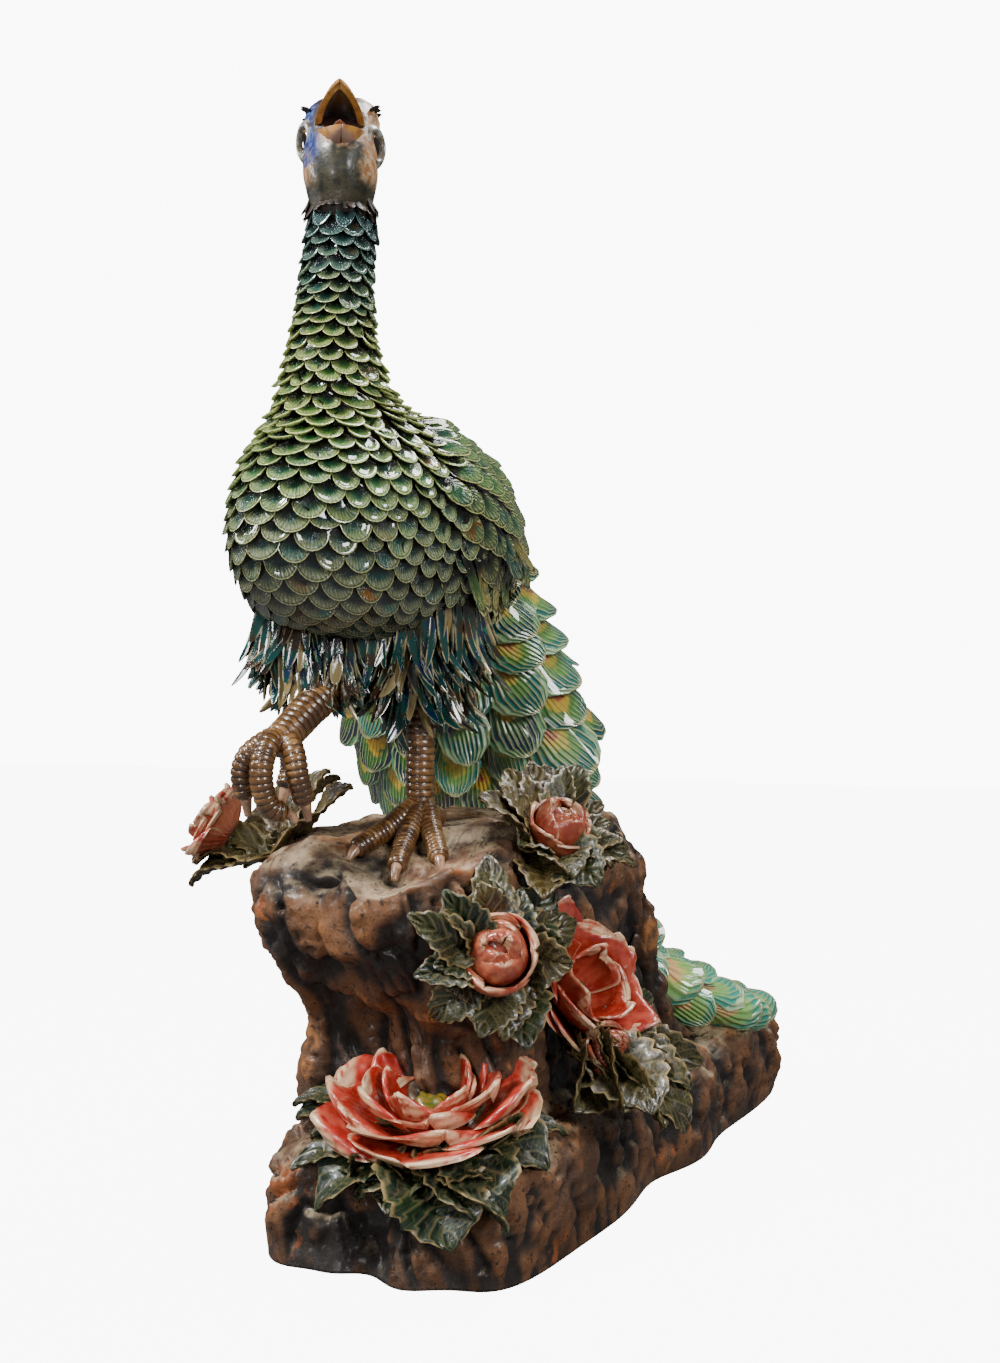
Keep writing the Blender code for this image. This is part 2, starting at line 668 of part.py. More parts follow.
def flower(name, centre, axis, radius, profile):
    """A flower turned as one solid: rings from its middle over each whorl's rim and down to its stem.

    Each ring is (kind, petals, reach, rise) with reach and rise as shares of the radius. A rim is scalloped
    into petals, a round is plain.
    """
    axis = np.asarray(axis, float) / np.linalg.norm(axis)
    side = np.cross(axis, (0.2, 1.0, 0.1))
    side /= np.linalg.norm(side)
    other = np.cross(axis, side)
    shell = Shell()
    rings = []
    whorl = 0
    for kind, petals, reach, rise in profile:
        if kind == "rim":
            part = np.arange(petals * PETAL_EDGE)
            turns = (part / PETAL_EDGE + 0.5 * whorl) / petals
            bulge = np.sin(np.pi * (part % PETAL_EDGE) / PETAL_EDGE)
            whorl += 1
        else:
            turns = np.arange(petals) / petals
            bulge = np.full(petals, 0.5)
        out = radius * reach * (0.88 + 0.20 * bulge)
        up = radius * (rise - 0.10 + 0.12 * bulge) if kind == "rim" else radius * np.full(len(turns), rise)
        angle = 2 * np.pi * turns[:, None]
        around = side * np.cos(angle) + other * np.sin(angle)
        rings.append((shell.add(centre + around * out[:, None] + axis * up[:, None]), list(turns)))
    for (lower, lower_turns), (upper, upper_turns) in zip(rings, rings[1:]):
        shell.strip(lower, lower_turns, upper, upper_turns)
    shell.cap(rings[0][0])
    shell.cap(rings[-1][0])
    joined(name, shell)


OPEN_FLOWER = [
    ("round", 6, 0.08, 0.20), ("round", 7, 0.19, 0.10), ("rim", 5, 0.38, 0.42), ("round", 8, 0.42, 0.12),
    ("rim", 6, 0.68, 0.44), ("round", 9, 0.68, 0.06), ("rim", 7, 1.00, 0.30), ("round", 9, 0.80, -0.10),
    ("round", 7, 0.35, -0.34), ("round", 6, 0.25, -0.75),
]
SIDE_FLOWER = [
    ("round", 5, 0.10, 0.30), ("round", 6, 0.20, 0.14), ("rim", 5, 0.48, 0.55), ("round", 8, 0.52, 0.14),
    ("rim", 6, 0.98, 0.50), ("round", 8, 0.76, -0.02), ("round", 6, 0.36, -0.34), ("round", 6, 0.25, -1.00),
]
BUD = [
    ("round", 4, 0.16, 0.95), ("rim", 3, 0.45, 1.15), ("round", 6, 0.52, 0.75), ("rim", 4, 0.92, 0.95),
    ("round", 7, 0.96, 0.20), ("round", 7, 0.72, -0.50), ("round", 6, 0.40, -1.10), ("round", 6, 0.36, -2.20),
]


# Lumps of clay that the side flowers' stems are pressed into: place on the rock, then radius.
PADS = [(0.340, -0.205, 0.430, 0.050), (0.300, -0.250, 0.800, 0.032), (-0.600, -0.382, 0.905, 0.026)]


def pads():
    for k, (x, y, z, radius) in enumerate(PADS):
        centre = on_rock(x, y, z)
        rows = [
            section(centre + [0, 0, radius * up], [radius * r, 0, 0], [0, -radius * r, 0])
            for up, r in ((-1.0, 0.5), (-0.5, 0.9), (0.5, 0.9), (1.0, 0.5))
        ]
        tube(f"pad_{k}", rows, 6, 1)


def peonies():
    pads()
    flower("peony_step", on_step(0.150, -0.416, 0.026), (0.12, -0.34, 1.0), PEONY_RADIUS, OPEN_FLOWER)
    flower("peony_side", on_rock(0.430, -0.180, 0.580), (0.92, -0.20, 0.34), SIDE_PEONY_RADIUS, SIDE_FLOWER)
    flower("peony_left", on_rock(-0.700, -0.390, 0.970), (-0.75, -0.25, 0.55), 0.54 * SIDE_PEONY_RADIUS, SIDE_FLOWER)
    flower("bud_upper", on_rock(0.345, -0.240, 0.960), (0.45, -0.45, 0.80), BUD_RADIUS, BUD)
    flower("bud_middle", on_rock(0.290, -0.350, 0.690), (0.60, -0.80, 0.20), BUD_RADIUS, BUD)
    flower("bud_side", on_rock(0.560, -0.205, 0.435), (0.85, -0.40, 0.20), 0.85 * BUD_RADIUS, BUD)


# Each leaf: place of its tip on the rock, then half its width in metres.
UPPER_ROOT, UPPER_AXIS = (0.300, -0.250, 0.880), (0.45, -0.55, 0.70)
UPPER_LEAVES = [
    (0.159, -0.318, 1.053, 0.022), (0.141, -0.234, 1.106, 0.020), (0.226, -0.175, 1.119, 0.020), (0.333, -0.171, 1.106, 0.018),
    (0.433, -0.183, 1.019, 0.017), (0.556, -0.221, 0.936, 0.016), (0.578, -0.203, 0.889, 0.020), (0.541, -0.282, 0.850, 0.022),
    (0.415, -0.333, 0.831, 0.022),
]
MIDDLE_ROOT, MIDDLE_AXIS = (0.255, -0.340, 0.680), (0.60, -0.80, 0.20)
MIDDLE_LEAVES = [
    (0.152, -0.408, 0.819, 0.016), (0.204, -0.370, 0.867, 0.017), (0.296, -0.383, 0.878, 0.019), (0.226, -0.292, 0.933, 0.020),
    (0.389, -0.293, 0.836, 0.020), (0.463, -0.282, 0.756, 0.018), (0.522, -0.343, 0.675, 0.020), (0.426, -0.389, 0.489, 0.024),
    (0.330, -0.436, 0.531, 0.024), (0.181, -0.432, 0.683, 0.016), (0.185, -0.417, 0.575, 0.017),
]
SIDE_ROOT, SIDE_AXIS = (0.370, -0.215, 0.430), (0.90, -0.35, 0.30)
SIDE_LEAVES = [
    (0.507, -0.317, 0.322, 0.020), (0.563, -0.278, 0.392, 0.020), (0.741, -0.276, 0.300, 0.026), (0.793, -0.224, 0.258, 0.026),
    (0.770, -0.183, 0.331, 0.024), (0.737, -0.130, 0.372, 0.020), (0.404, -0.071, 0.606, 0.022), (0.520, -0.060, 0.400, 0.022),
]
LEFT_ROOT, LEFT_AXIS = (-0.470, -0.368, 0.880), (-0.55, -0.35, 0.75)
LEFT_LEAVES = [
    (-0.767, -0.436, 0.850, 0.022), (-0.800, -0.400, 0.890, 0.024), (-0.215, -0.383, 1.086, 0.024), (-0.493, -0.255, 1.094, 0.020),
    (-0.600, -0.268, 1.090, 0.020), (-0.720, -0.290, 1.000, 0.022),
]
STEP_ROOT, STEP_AXIS = (0.148, -0.410, 0.245), (0.12, -0.30, 1.0)
STEP_LEAVES = [
    (-0.233, -0.416, 0.464, 0.022), (-0.290, -0.451, 0.306, 0.018), (-0.230, -0.484, 0.290, 0.018), (-0.075, -0.533, 0.172, 0.026),
    (0.170, -0.534, 0.186, 0.024), (0.396, -0.526, 0.117, 0.022), (0.504, -0.478, 0.158, 0.020), (0.530, -0.401, 0.228, 0.026),
    (0.504, -0.347, 0.292, 0.022), (0.337, -0.272, 0.447, 0.020),
]


# Share of a leaf's length, then share of its greatest half-width.
LEAF_SHAPE = ((0.36, 0.62), (0.68, 1.00))
LEAF_GAP = math.radians(58)
WEB_RADIUS = 0.011
TIER_DROP = 0.006


def leaf_tiers(root, axis, tips):
    """Sorts a cluster's leaves into tiers, so that the leaves of one tier stand clear of each other."""
    side = np.cross(axis, (0.2, 1.0, 0.1))
    side /= np.linalg.norm(side)
    other = np.cross(axis, side)
    tiers = []
    for tip, half_width in tips:
        run = tip - root
        angle = math.atan2(run @ other, run @ side) % (2 * math.pi)
        for tier in tiers:
            gaps = [abs((angle - taken + math.pi) % (2 * math.pi) - math.pi) for taken, _, _ in tier]
            spans = [(other_tip - root) @ run / np.linalg.norm(other_tip - root) for _, other_tip, _ in tier]
            turned = max(spans) < math.cos(LEAF_GAP) * np.linalg.norm(run)
            if min(gaps) > LEAF_GAP and turned and len(tier) < 5:
                tier.append((angle, tip, half_width))
                break
        else:
            tiers.append([(angle, tip, half_width)])
    return [sorted(tier, key=lambda leaf: leaf[0]) for tier in tiers], side, other


def leaf_fan(name, root, axis, side, other, tier):
    """Leaves that spring from one crown, as a single solid with an upper and a lower skin."""
    shell = Shell()
    half = axis * LEAF_THICKNESS / 2
    crown = shell.add([root + half, root - half])
    count = len(tier)
    notches = []
    for k, (angle, _, _) in enumerate(tier):
        after = tier[(k + 1) % count][0] + (2 * math.pi if k + 1 == count else 0)
        middle = (angle + after) / 2
        notches += shell.add([root + WEB_RADIUS * (side * math.cos(middle) + other * math.sin(middle))])
    for k, (angle, tip, half_width) in enumerate(tier):
        run = tip - root
        across = np.cross(axis, run)
        across /= np.linalg.norm(across)
        up = np.cross(run, across) / np.linalg.norm(run)
        before, after = notches[k - 1], notches[k]
        right, left, upper, lower = [before], [after], [crown[0]], [crown[1]]
        for share, width in LEAF_SHAPE:
            middle = root + run * share + up * 0.10 * np.linalg.norm(run) * 4 * share * (1 - share)
            wing, fold = across * half_width * width, up * 0.30 * half_width * width
            ribs = [middle + up * LEAF_THICKNESS / 2, middle - up * LEAF_THICKNESS / 2]
            r, l, u, w = shell.add([middle - wing + fold, middle + wing + fold] + ribs)
            right.append(r)
            left.append(l)
            upper.append(u)
            lower.append(w)
        point = shell.add([tip])[0]
        for edge in (right, left):
            for rib in (upper, lower):
                shell.faces.append((edge[0], rib[0], rib[1]))
                shell.faces.append((edge[0], rib[1], edge[1]))
                shell.faces.append((edge[1], rib[1], rib[2]))
                shell.faces.append((edge[1], rib[2], edge[2]))
                shell.faces.append((edge[2], rib[2], point))
    joined(name, shell)


def leaves():
    clusters = (
        ("upper", UPPER_ROOT, UPPER_AXIS, UPPER_LEAVES),
        ("middle", MIDDLE_ROOT, MIDDLE_AXIS, MIDDLE_LEAVES),
        ("side", SIDE_ROOT, SIDE_AXIS, SIDE_LEAVES),
        ("left", LEFT_ROOT, LEFT_AXIS, LEFT_LEAVES),
        ("step", STEP_ROOT, STEP_AXIS, STEP_LEAVES),
    )
    for name, place, facing, tips in clusters:
        axis = np.array(facing) / np.linalg.norm(facing)
        root = on_rock(*place)
        tiers, side, other = leaf_tiers(root, axis, [(on_rock(x, y, z), width) for x, y, z, width in tips])
        for k, tier in enumerate(tiers):
            crown = root - axis * TIER_DROP * k
            if len(tier) > 1:
                leaf_fan(f"leaves_{name}_{k}", crown, axis, side, other, tier)
            else:
                leaf_solid(f"leaf_{name}_{k}", crown, tier[0][1], tier[0][2], axis, LEAF_THICKNESS, 0.10)


def figure():
    """The slab carries everything else by one union, and stands for the whole fired piece."""
    piece = solid("peacock_figurine", rock_block("slab", SLAB, 28))
    bpy.context.scene.collection.objects.link(piece)
    union = piece.modifiers.new("all_of_one_clay", "BOOLEAN")
    union.operation = "UNION"
    union.operand_type = "COLLECTION"
    union.collection = operands
    union.solver = "EXACT"
    glaze = bpy.data.materials.new("glazed_stoneware")
    glaze.use_nodes = True
    shader = glaze.node_tree.nodes["Principled BSDF"]
    shader.inputs["Base Color"].default_value = GLAZE
    shader.inputs["Roughness"].default_value = GLAZE_ROUGHNESS
    shader.inputs["Metallic"].default_value = 0.0
    piece.data.materials.append(glaze)


def main():
    for old in list(bpy.data.objects):
        bpy.data.objects.remove(old)
    bpy.context.scene.collection.children.link(operands)
    rock_column()
    body()
    train()
    head()
    beak()
    crest()
    legs()
    skirt()
    peonies()
    leaves()
    figure()


main()
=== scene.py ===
"""Looks of the peacock figurine: a glazed stoneware bird on a rock with peonies, built round the CAD frame.

Metres, +Z up. The bird faces -Y and its train falls behind it to +Y.
"""

import itertools
import math

import bpy
import numpy as np
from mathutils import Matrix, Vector


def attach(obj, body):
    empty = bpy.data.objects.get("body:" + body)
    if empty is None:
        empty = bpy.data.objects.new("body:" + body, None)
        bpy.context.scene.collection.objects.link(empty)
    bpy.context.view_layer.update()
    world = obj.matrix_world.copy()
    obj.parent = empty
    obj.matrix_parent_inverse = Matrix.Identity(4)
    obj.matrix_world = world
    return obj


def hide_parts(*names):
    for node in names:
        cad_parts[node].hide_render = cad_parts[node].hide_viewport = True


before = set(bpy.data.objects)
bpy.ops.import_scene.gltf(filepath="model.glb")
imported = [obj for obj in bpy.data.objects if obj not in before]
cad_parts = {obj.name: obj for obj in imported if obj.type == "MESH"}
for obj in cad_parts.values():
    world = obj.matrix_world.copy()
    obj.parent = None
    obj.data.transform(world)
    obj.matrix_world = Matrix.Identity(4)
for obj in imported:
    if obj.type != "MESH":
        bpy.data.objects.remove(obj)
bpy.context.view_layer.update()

# Rock. A hollow block of coarse stoneware: a long slab, a column and a ledge that juts to the front.
# Clawed and furrowed by hand, stained brown, rubbed with ochre and dusty on top. The stain in the furrows and
# hollows is deepened to near black by painted shade.

# Height in metres, then reach to the left and right, front and back, and squareness of the outline.
ROCK = [
    (0.000, 0.115, 0.138, 0.384, 0.399, 8.0),
    (0.041, 0.117, 0.143, 0.386, 0.409, 8.0),
    (0.076, 0.117, 0.140, 0.374, 0.405, 7.0),
    (0.092, 0.114, 0.124, 0.352, 0.384, 6.0),
    (0.097, 0.115, 0.109, 0.338, 0.300, 5.5),
    (0.103, 0.116, 0.105, 0.333, 0.205, 6.0),
    (0.126, 0.127, 0.097, 0.322, 0.140, 7.0),
    (0.194, 0.130, 0.095, 0.316, 0.084, 6.0),
    (0.223, 0.147, 0.095, 0.346, 0.068, 4.0),
    (0.259, 0.170, 0.095, 0.376, 0.053, 3.5),
    (0.306, 0.176, 0.092, 0.380, 0.046, 3.5),
    (0.335, 0.159, 0.081, 0.353, 0.042, 3.5),
    (0.353, 0.116, 0.065, 0.296, 0.038, 3.0),
    (0.360, 0.060, 0.036, 0.210, 0.030, 2.5),
]
ROCK_RINGS, ROCK_SIDES, ROCK_HEIGHT = 224, 380, 0.36
# Flutes round the outline: how many, how strong, and how far each leans over the rock's height, in turns.
FLUTES = [(9, 1.0, 0.35), (14, 0.6, -0.35)]
FLUTE_DEPTH = 0.006
# The top slopes down to the front under the standing foot's toes: where it starts, its fall for each metre,
# how far it runs and how softly it meets the rest.
SLOPE_TOP, SLOPE_FALL, SLOPE_RUN, SLOPE_SOFT = 0.352, 0.52, 0.085, 0.004
# Layers of the relief: depth and size in metres, then seed.
LUMPS = [(0.0060, 0.060, 1), (0.0042, 0.028, 2)]
GRIT = [(0.0020, 0.009, 4), (0.0010, 0.005, 6)]
FURROW, FINE_FURROW, PIT = 0.0105, 0.0034, 0.0040


def smooth(stations, t):
    """The curve through the stations, one to each whole number of t, by Catmull and Rom's rule."""
    rows = np.asarray(stations, float)
    t = np.clip(np.asarray(t, float), 0, len(rows) - 1)
    first = np.minimum(t.astype(int), len(rows) - 2)
    f = (t - first)[..., None]
    before, after = rows[np.maximum(first - 1, 0)], rows[np.minimum(first + 2, len(rows) - 1)]
    start, end = rows[first], rows[first + 1]
    return (
        start * (2 * f**3 - 3 * f**2 + 1)
        + (end - before) / 2 * (f**3 - 2 * f**2 + f)
        + end * (3 * f**2 - 2 * f**3)
        + (after - start) / 2 * (f**3 - f**2)
    )


def cloud(points, size, seed):
    """Soft random values from -1 to 1: one value to each corner of a lattice of cubes, mixed in between
    by smoothstep weights. The value of a corner is the fraction of a large sine of its whole numbers."""
    place = np.asarray(points) / size + 7.31 * seed
    corner = np.floor(place)
    f = place - corner
    f = f * f * (3 - 2 * f)
    total = 0.0
    for near in itertools.product((0, 1), repeat=3):
        h = np.sin((corner + near) @ np.array([127.1, 311.7, 74.7]) + 1.7 * seed) * 43758.5453
        total = total + (2 * (h - np.floor(h)) - 1) * np.prod(np.where(near, f, 1 - f), axis=-1)
    return total


def skin(name, grid, material, slot, crease=50, **attributes):
    """A closed skin over rings of points, one to each copy: grid is (copies, rings, sides, 3).

    Each end is closed by a fan to the middle of its ring. A copy whose volume comes out negative has
    its faces turned round. Attributes are arrays over the same grid, with one or three numbers."""
    grid = np.asarray(grid, float)
    grid = grid[None] if grid.ndim == 3 else grid
    copies, rings, sides = grid.shape[:3]

    def with_poles(values):
        """The values of all points of a copy in one row, between the means of its first and last ring."""
        flat = values.reshape(copies, rings * sides, -1)
        return np.concatenate([values[:, 0].mean(1)[:, None], flat, values[:, -1].mean(1)[:, None]], 1)

    points = with_poles(grid)
    ring, after = np.arange(sides), (np.arange(sides) + 1) % sides
    low = 1 + np.arange(rings - 1)[:, None] * sides
    quads = np.stack([low + ring, low + after, low + sides + after, low + sides + ring], -1).reshape(-1, 4)
    last = 1 + (rings - 1) * sides
    fans = [(0 * ring, 1 + after, 1 + ring), (0 * ring + last + sides, last + ring, last + after)]
    fans = np.concatenate([np.stack(fan, -1) for fan in fans])
    triangles = np.concatenate([fans, quads[:, :3], quads[:, [0, 2, 3]]])
    a, b, c = (points[:, triangles[:, k]] - points[:, :1] for k in range(3))
    inside_out = ((a * np.cross(b, c)).sum((1, 2)) < 0)[:, None, None]
    first = (np.arange(copies) * points.shape[1])[:, None, None]
    faces = []
    for kind in (quads, fans):
        every = np.where(inside_out, kind[None, :, ::-1], kind[None]) + first
        faces += every.reshape(-1, kind.shape[1]).tolist()
    mesh = bpy.data.meshes.new(name)
    mesh.from_pydata(points.reshape(-1, 3).tolist(), [], faces)
    mesh.shade_smooth()
    mesh.set_sharp_from_angle(angle=math.radians(crease))
    for key, values in attributes.items():
        values = np.asarray(values, float)
        values = values[None] if values.ndim == 3 else values
        values = with_poles(np.broadcast_to(values, grid.shape[:3] + values.shape[-1:]))
        kind, field = ("FLOAT", "value") if values.shape[-1] == 1 else ("FLOAT_VECTOR", "vector")
        layer = mesh.attributes.new(key, kind, "POINT")
        layer.data.foreach_set(field, values.astype(np.float32).ravel())
    mesh.materials.append(material)
    piece = bpy.data.objects.new(name, mesh)
    bpy.context.scene.collection.objects.link(piece)
    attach(piece, "root")
    return piece


def colour(red, green, blue):
    """A colour given in parts of 255, as linear light."""
    parts = np.array([red, green, blue]) / 255
    return tuple(np.where(parts < 0.04045, parts / 12.92, ((parts + 0.055) / 1.055) ** 2.4)) + (1.0,)


class Glaze:
    """One glaze's nodes. Each call adds a node and gives its output. The tone is what the glaze shows so"""

    def __init__(self, name, tone, roughness=0.3, coat=0.5, coat_roughness=0.08):
        self.material = bpy.data.materials.new(name)
        self.material.use_nodes = True
        self.tree = self.material.node_tree
        self.shader = self.tree.nodes["Principled BSDF"]
        self.shader.inputs["Roughness"].default_value = roughness
        self.shader.inputs["Coat Weight"].default_value = coat
        self.shader.inputs["Coat Roughness"].default_value = coat_roughness
        self.here = self.add("ShaderNodeTexCoord", {}, "Object")
        self.tone = tone

    def add(self, kind, inputs, output=0, **settings):
        """A node with its settings, its inputs joined to sockets or set to values."""
        node = self.tree.nodes.new(kind)
        for key, value in settings.items():
            setattr(node, key, value)
        for key, value in inputs.items():
            if isinstance(value, bpy.types.NodeSocket):
                self.tree.links.new(value, node.inputs[key])
            else:
                node.inputs[key].default_value = value
        return node.outputs[output]

    def maths(self, operation, *values):
        """The result of one operation on the values."""
        return self.add("ShaderNodeMath", dict(enumerate(values)), operation=operation)

    def times(self, value, *others):
        """The product of all values."""
        for other in others:
            value = self.maths("MULTIPLY", value, other)
        return value

    def long(self, x, y):
        """The root of the sum of the squares."""
        return self.maths("SQRT", self.maths("ADD", self.maths("POWER", x, 2.0), self.maths("POWER", y, 2.0)))

    def centred(self, value, reach):
        """A value from 0 to 1 as one from minus to plus half the reach."""
        return self.maths("MULTIPLY_ADD", value, reach, -reach / 2)

    def step(self, value, low, high):
        """0 below low, 1 above high and smooth between; the other way round where low is more than high."""
        return self.add("ShaderNodeMapRange", {0: value, 1: low, 2: high}, interpolation_type="SMOOTHSTEP")

    def noise(self, size, detail=3.0, roughness=0.55):
        """Soft noise from 0 to 1 with lumps of a size in metres."""
        inputs = {"Vector": self.here, "Scale": 1 / size, "Detail": detail, "Roughness": roughness}
        return self.add("ShaderNodeTexNoise", inputs)

    def patches(self, size, detail, low, high):
        """Patches with soft edges: the step of noise from low to high."""
        return self.step(self.noise(size, detail), low, high)

    def mix(self, share, first, second):
        """The second colour over the first one, by the share."""
        return self.add("ShaderNodeMix", {0: share, 6: first, 7: second}, 2, data_type="RGBA")

    def lay(self, tint, *shares):
        """Mixes a tint over the tone by the product of the shares."""
        self.tone = self.mix(self.times(*shares), self.tone, tint)

    def attribute(self, name, output="Fac"):
        """What a mesh attribute holds."""
        return self.add("ShaderNodeAttribute", {}, output, attribute_name=name)

    def parts(self, vector):
        """The three numbers of a vector."""
        node = self.tree.nodes.new("ShaderNodeSeparateXYZ")
        self.tree.links.new(vector, node.inputs[0])
        return node.outputs

    def finish(self, height=None, depth=0.001, roughness=None):
        """Joins the tone, a height for the bump and a roughness to the shader, and gives the material."""
        self.tree.links.new(self.tone, self.shader.inputs["Base Color"])
        if roughness is not None:
            self.tree.links.new(roughness, self.shader.inputs["Roughness"])
        if height is not None:
            relief = {"Strength": 1.0, "Distance": depth, "Height": height}
            bump = self.add("ShaderNodeBump", relief, "Normal")
            self.tree.links.new(bump, self.shader.inputs["Normal"])
        return self.material


def mottled(name, first, second, size, detail=3.0, low=0.4, high=0.6, bump=None, **gloss):
    """The material of a glaze of two tones in patches, with a bump of fine noise where a depth is given."""
    glaze = Glaze(name, first, **gloss)
    glaze.lay(second, glaze.patches(size, detail, low, high))
    return glaze.finish(glaze.noise(0.003) if bump else None, bump)


def unit(vectors):
    """The vectors over their lengths."""
    return vectors / (np.linalg.norm(vectors, axis=-1, keepdims=True) + 1e-12)


def rock_grid():
    """Stacked outlines, each a squared oval with its own reach to each side: the angle's cosine and sine
    over the (|cos|^n + |sin|^n)^(1/n) that squares it, fluted by sines that lean with the height. Rings
    are spaced by the way along the back."""
    fine = np.linspace(0, len(ROCK) - 1, 1500)
    line = smooth(ROCK, fine)[:, [0, 4]]
    way = np.concatenate([[0], np.cumsum(np.hypot(*np.diff(line, axis=0).T) + 0.00006)])
    t = np.interp(np.linspace(0, way[-1], ROCK_RINGS), way, fine)
    height, left, right, front, back, square = smooth(ROCK, t).T[:, :, None]
    turn = np.linspace(0, 1, ROCK_SIDES, endpoint=False)[None]
    c, s = np.cos(2 * np.pi * turn), np.sin(2 * np.pi * turn)
    reach = (np.abs(c) ** square + np.abs(s) ** square) ** (-1 / square)
    x = c * reach * np.where(c > 0, right, left)
    y = s * reach * np.where(s > 0, back, front)
    up = height / ROCK_HEIGHT
    wave = sum(strong * np.sin(2 * np.pi * (number * turn + lean * up)) for number, strong, lean in FLUTES)
    fade = np.minimum(1, 6 * (1 - up))
    swell = 1 + fade * FLUTE_DEPTH * wave / np.maximum(np.hypot(x, y), 0.05)
    return np.stack([x * swell, y * swell, height + 0 * x], -1)


def normals(grid):
    """Outward unit normals of a grid that closes on itself along its second axis: the cross product of
    the differences along and across it."""
    return unit(np.cross(np.roll(grid, -1, 1) - np.roll(grid, 1, 1), np.gradient(grid, axis=0)))


def layers(points, rows):
    """The sum of clouds, each with its depth, size and seed."""
    return sum(depth * cloud(points, size, seed) for depth, size, seed in rows)


rock = rock_grid()
x, y, z = np.moveaxis(rock, -1, 0)
window = np.clip(1.1 - np.abs(x - 0.015) / 0.10, 0, 1) * (0.62 + 0.38 * np.clip((x + 0.04) / 0.05, 0, 1))
start = -0.245 + 0.35 * np.clip(x, 0, 0.06)
limit = SLOPE_TOP - SLOPE_FALL * np.clip(start - y, 0, SLOPE_RUN) * window
over = SLOPE_SOFT * np.log1p(np.exp(np.clip((z - limit) / SLOPE_SOFT, -30, 30)))
rock[..., 2] -= np.where(z > 0.29, over, 0)
out = normals(rock)
steep = np.clip(1.3 - 1.2 * out[..., 2], 0, 1)
slanted = rock * [1.0, 1.0, 0.34] + rock[..., [2, 2, 0]] * [0.30, 0.22, 0.0]
claws = np.clip(0.38 - np.abs(cloud(slanted, 0.024, 3)), 0, 1) / 0.38
fine_claws = np.clip(0.4 - np.abs(cloud(slanted * [1.0, 1.0, 0.8], 0.011, 8)), 0, 1) / 0.4
furrows = (FURROW * claws**1.6 + FINE_FURROW * fine_claws) * steep
pits = PIT * np.clip(cloud(rock, 0.011, 5) - 0.60, 0, 1) / 0.2
relief = layers(rock, LUMPS) - furrows + layers(rock, GRIT) - pits
rock = rock + out * (relief * np.clip(rock[..., 2] / 0.02, 0, 1))[..., None]
rock[..., 2] = np.maximum(rock[..., 2], 0)
rock[0, :, 2] = 0.0

glaze = Glaze("rock_stain", colour(70, 44, 24), roughness=0.55, coat=0.18, coat_roughness=0.25)
deep = glaze.attribute("relief")
up = glaze.parts(glaze.add("ShaderNodeNewGeometry", {}, "Normal"))[2]
glaze.lay(colour(112, 72, 38), glaze.patches(0.06, 4.0, 0.38, 0.62))
# Dark stain in the furrows and hollows, deepened by painted shade.
glaze.lay(colour(22, 13, 7), glaze.step(deep, -0.0010, -0.0075))
glaze.lay(colour(166, 108, 58), glaze.step(deep, 0.0008, 0.0060), glaze.patches(0.02, 5.0, 0.42, 0.62))
glaze.lay(colour(140, 76, 32), glaze.patches(0.045, 5.0, 0.62, 0.70))
glaze.lay(colour(178, 158, 126), glaze.step(up, 0.35, 0.90), glaze.patches(0.03, 6.0, 0.40, 0.66), 0.75)
glaze.lay(colour(34, 22, 14), glaze.patches(0.005, 4.0, 0.56, 0.70))
glaze.finish(glaze.noise(0.005, 8.0, 0.7), 0.0022, roughness=glaze.step(glaze.noise(0.02), 0.0, 0.75))
rock_piece = skin("rock", rock, glaze.material, "rock_glaze", crease=180, relief=relief[..., None])
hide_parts("peacock_figurine")

# Body. The breast, back and neck are one gourd of clay with a low swelling on each flank under the wing,
# glazed near black as painted shade in the gaps between the scales. The scales are pressed on to it, and
# the thighs and legs carry it.

FOOT = np.array([-0.017, -0.238, 0.352])
BIRD = 0.620
# Centre x, centre y, height, half-width, half-length, from the neck's top down to the belly, in shares of
# the bird's height from the standing foot.
BODY = [
    (-0.047, -0.135, 0.860, 0.044, 0.046),
    (-0.047, -0.145, 0.795, 0.042, 0.046),
    (-0.047, -0.153, 0.731, 0.044, 0.048),
    (-0.047, -0.158, 0.674, 0.051, 0.056),
    (-0.048, -0.156, 0.632, 0.061, 0.066),
    (-0.053, -0.145, 0.597, 0.072, 0.084),
    (-0.055, -0.105, 0.573, 0.086, 0.128),
    (-0.057, -0.065, 0.545, 0.106, 0.184),
    (-0.059, -0.029, 0.505, 0.132, 0.254),
    (-0.061, -0.015, 0.456, 0.147, 0.292),
    (-0.063, -0.011, 0.400, 0.151, 0.300),
    (-0.063, -0.016, 0.347, 0.141, 0.280),
    (-0.063, -0.023, 0.303, 0.120, 0.233),
    (-0.065, -0.029, 0.274, 0.077, 0.153),
    (-0.065, -0.032, 0.263, 0.024, 0.048),
]
# A wing's oval: its middle as a station and a turn of the body, its reach in each, and how far it swells.
WING_STATION, WING_TURN, WING_STATIONS, WING_TURNS, WING_SWELL = 8.5, 0.345, 2.5, 0.120, 0.008


def stacked(*parts):
    """The parts as numbers side by side along a new last axis."""
    return np.stack(np.broadcast_arrays(*parts), -1)


def on_bird(*place):
    """A place given in shares of the bird's height from the standing foot."""
    return FOOT + BIRD * stacked(*place)


def bird_tube(rows):
    """A tube's stations from rows of centre, half-width and half-length in shares of the bird's height:
    the centre, the side half-axis along +X and the front half-axis along -Y."""
    rows = np.array(rows)
    line = np.zeros((len(rows), 9))
    line[:, 0:3] = on_bird(*rows.T[:3])
    line[:, 3] = BIRD * rows[:, 3]
    line[:, 7] = -BIRD * rows[:, 4]
    return line


def round_grid(end, rings, sides):
    """Stations from 0 to end and turns from 0 to 1, over a grid of rings by sides."""
    return np.meshgrid(np.linspace(0, end, rings), np.linspace(0, 1, sides, endpoint=False), indexing="ij")


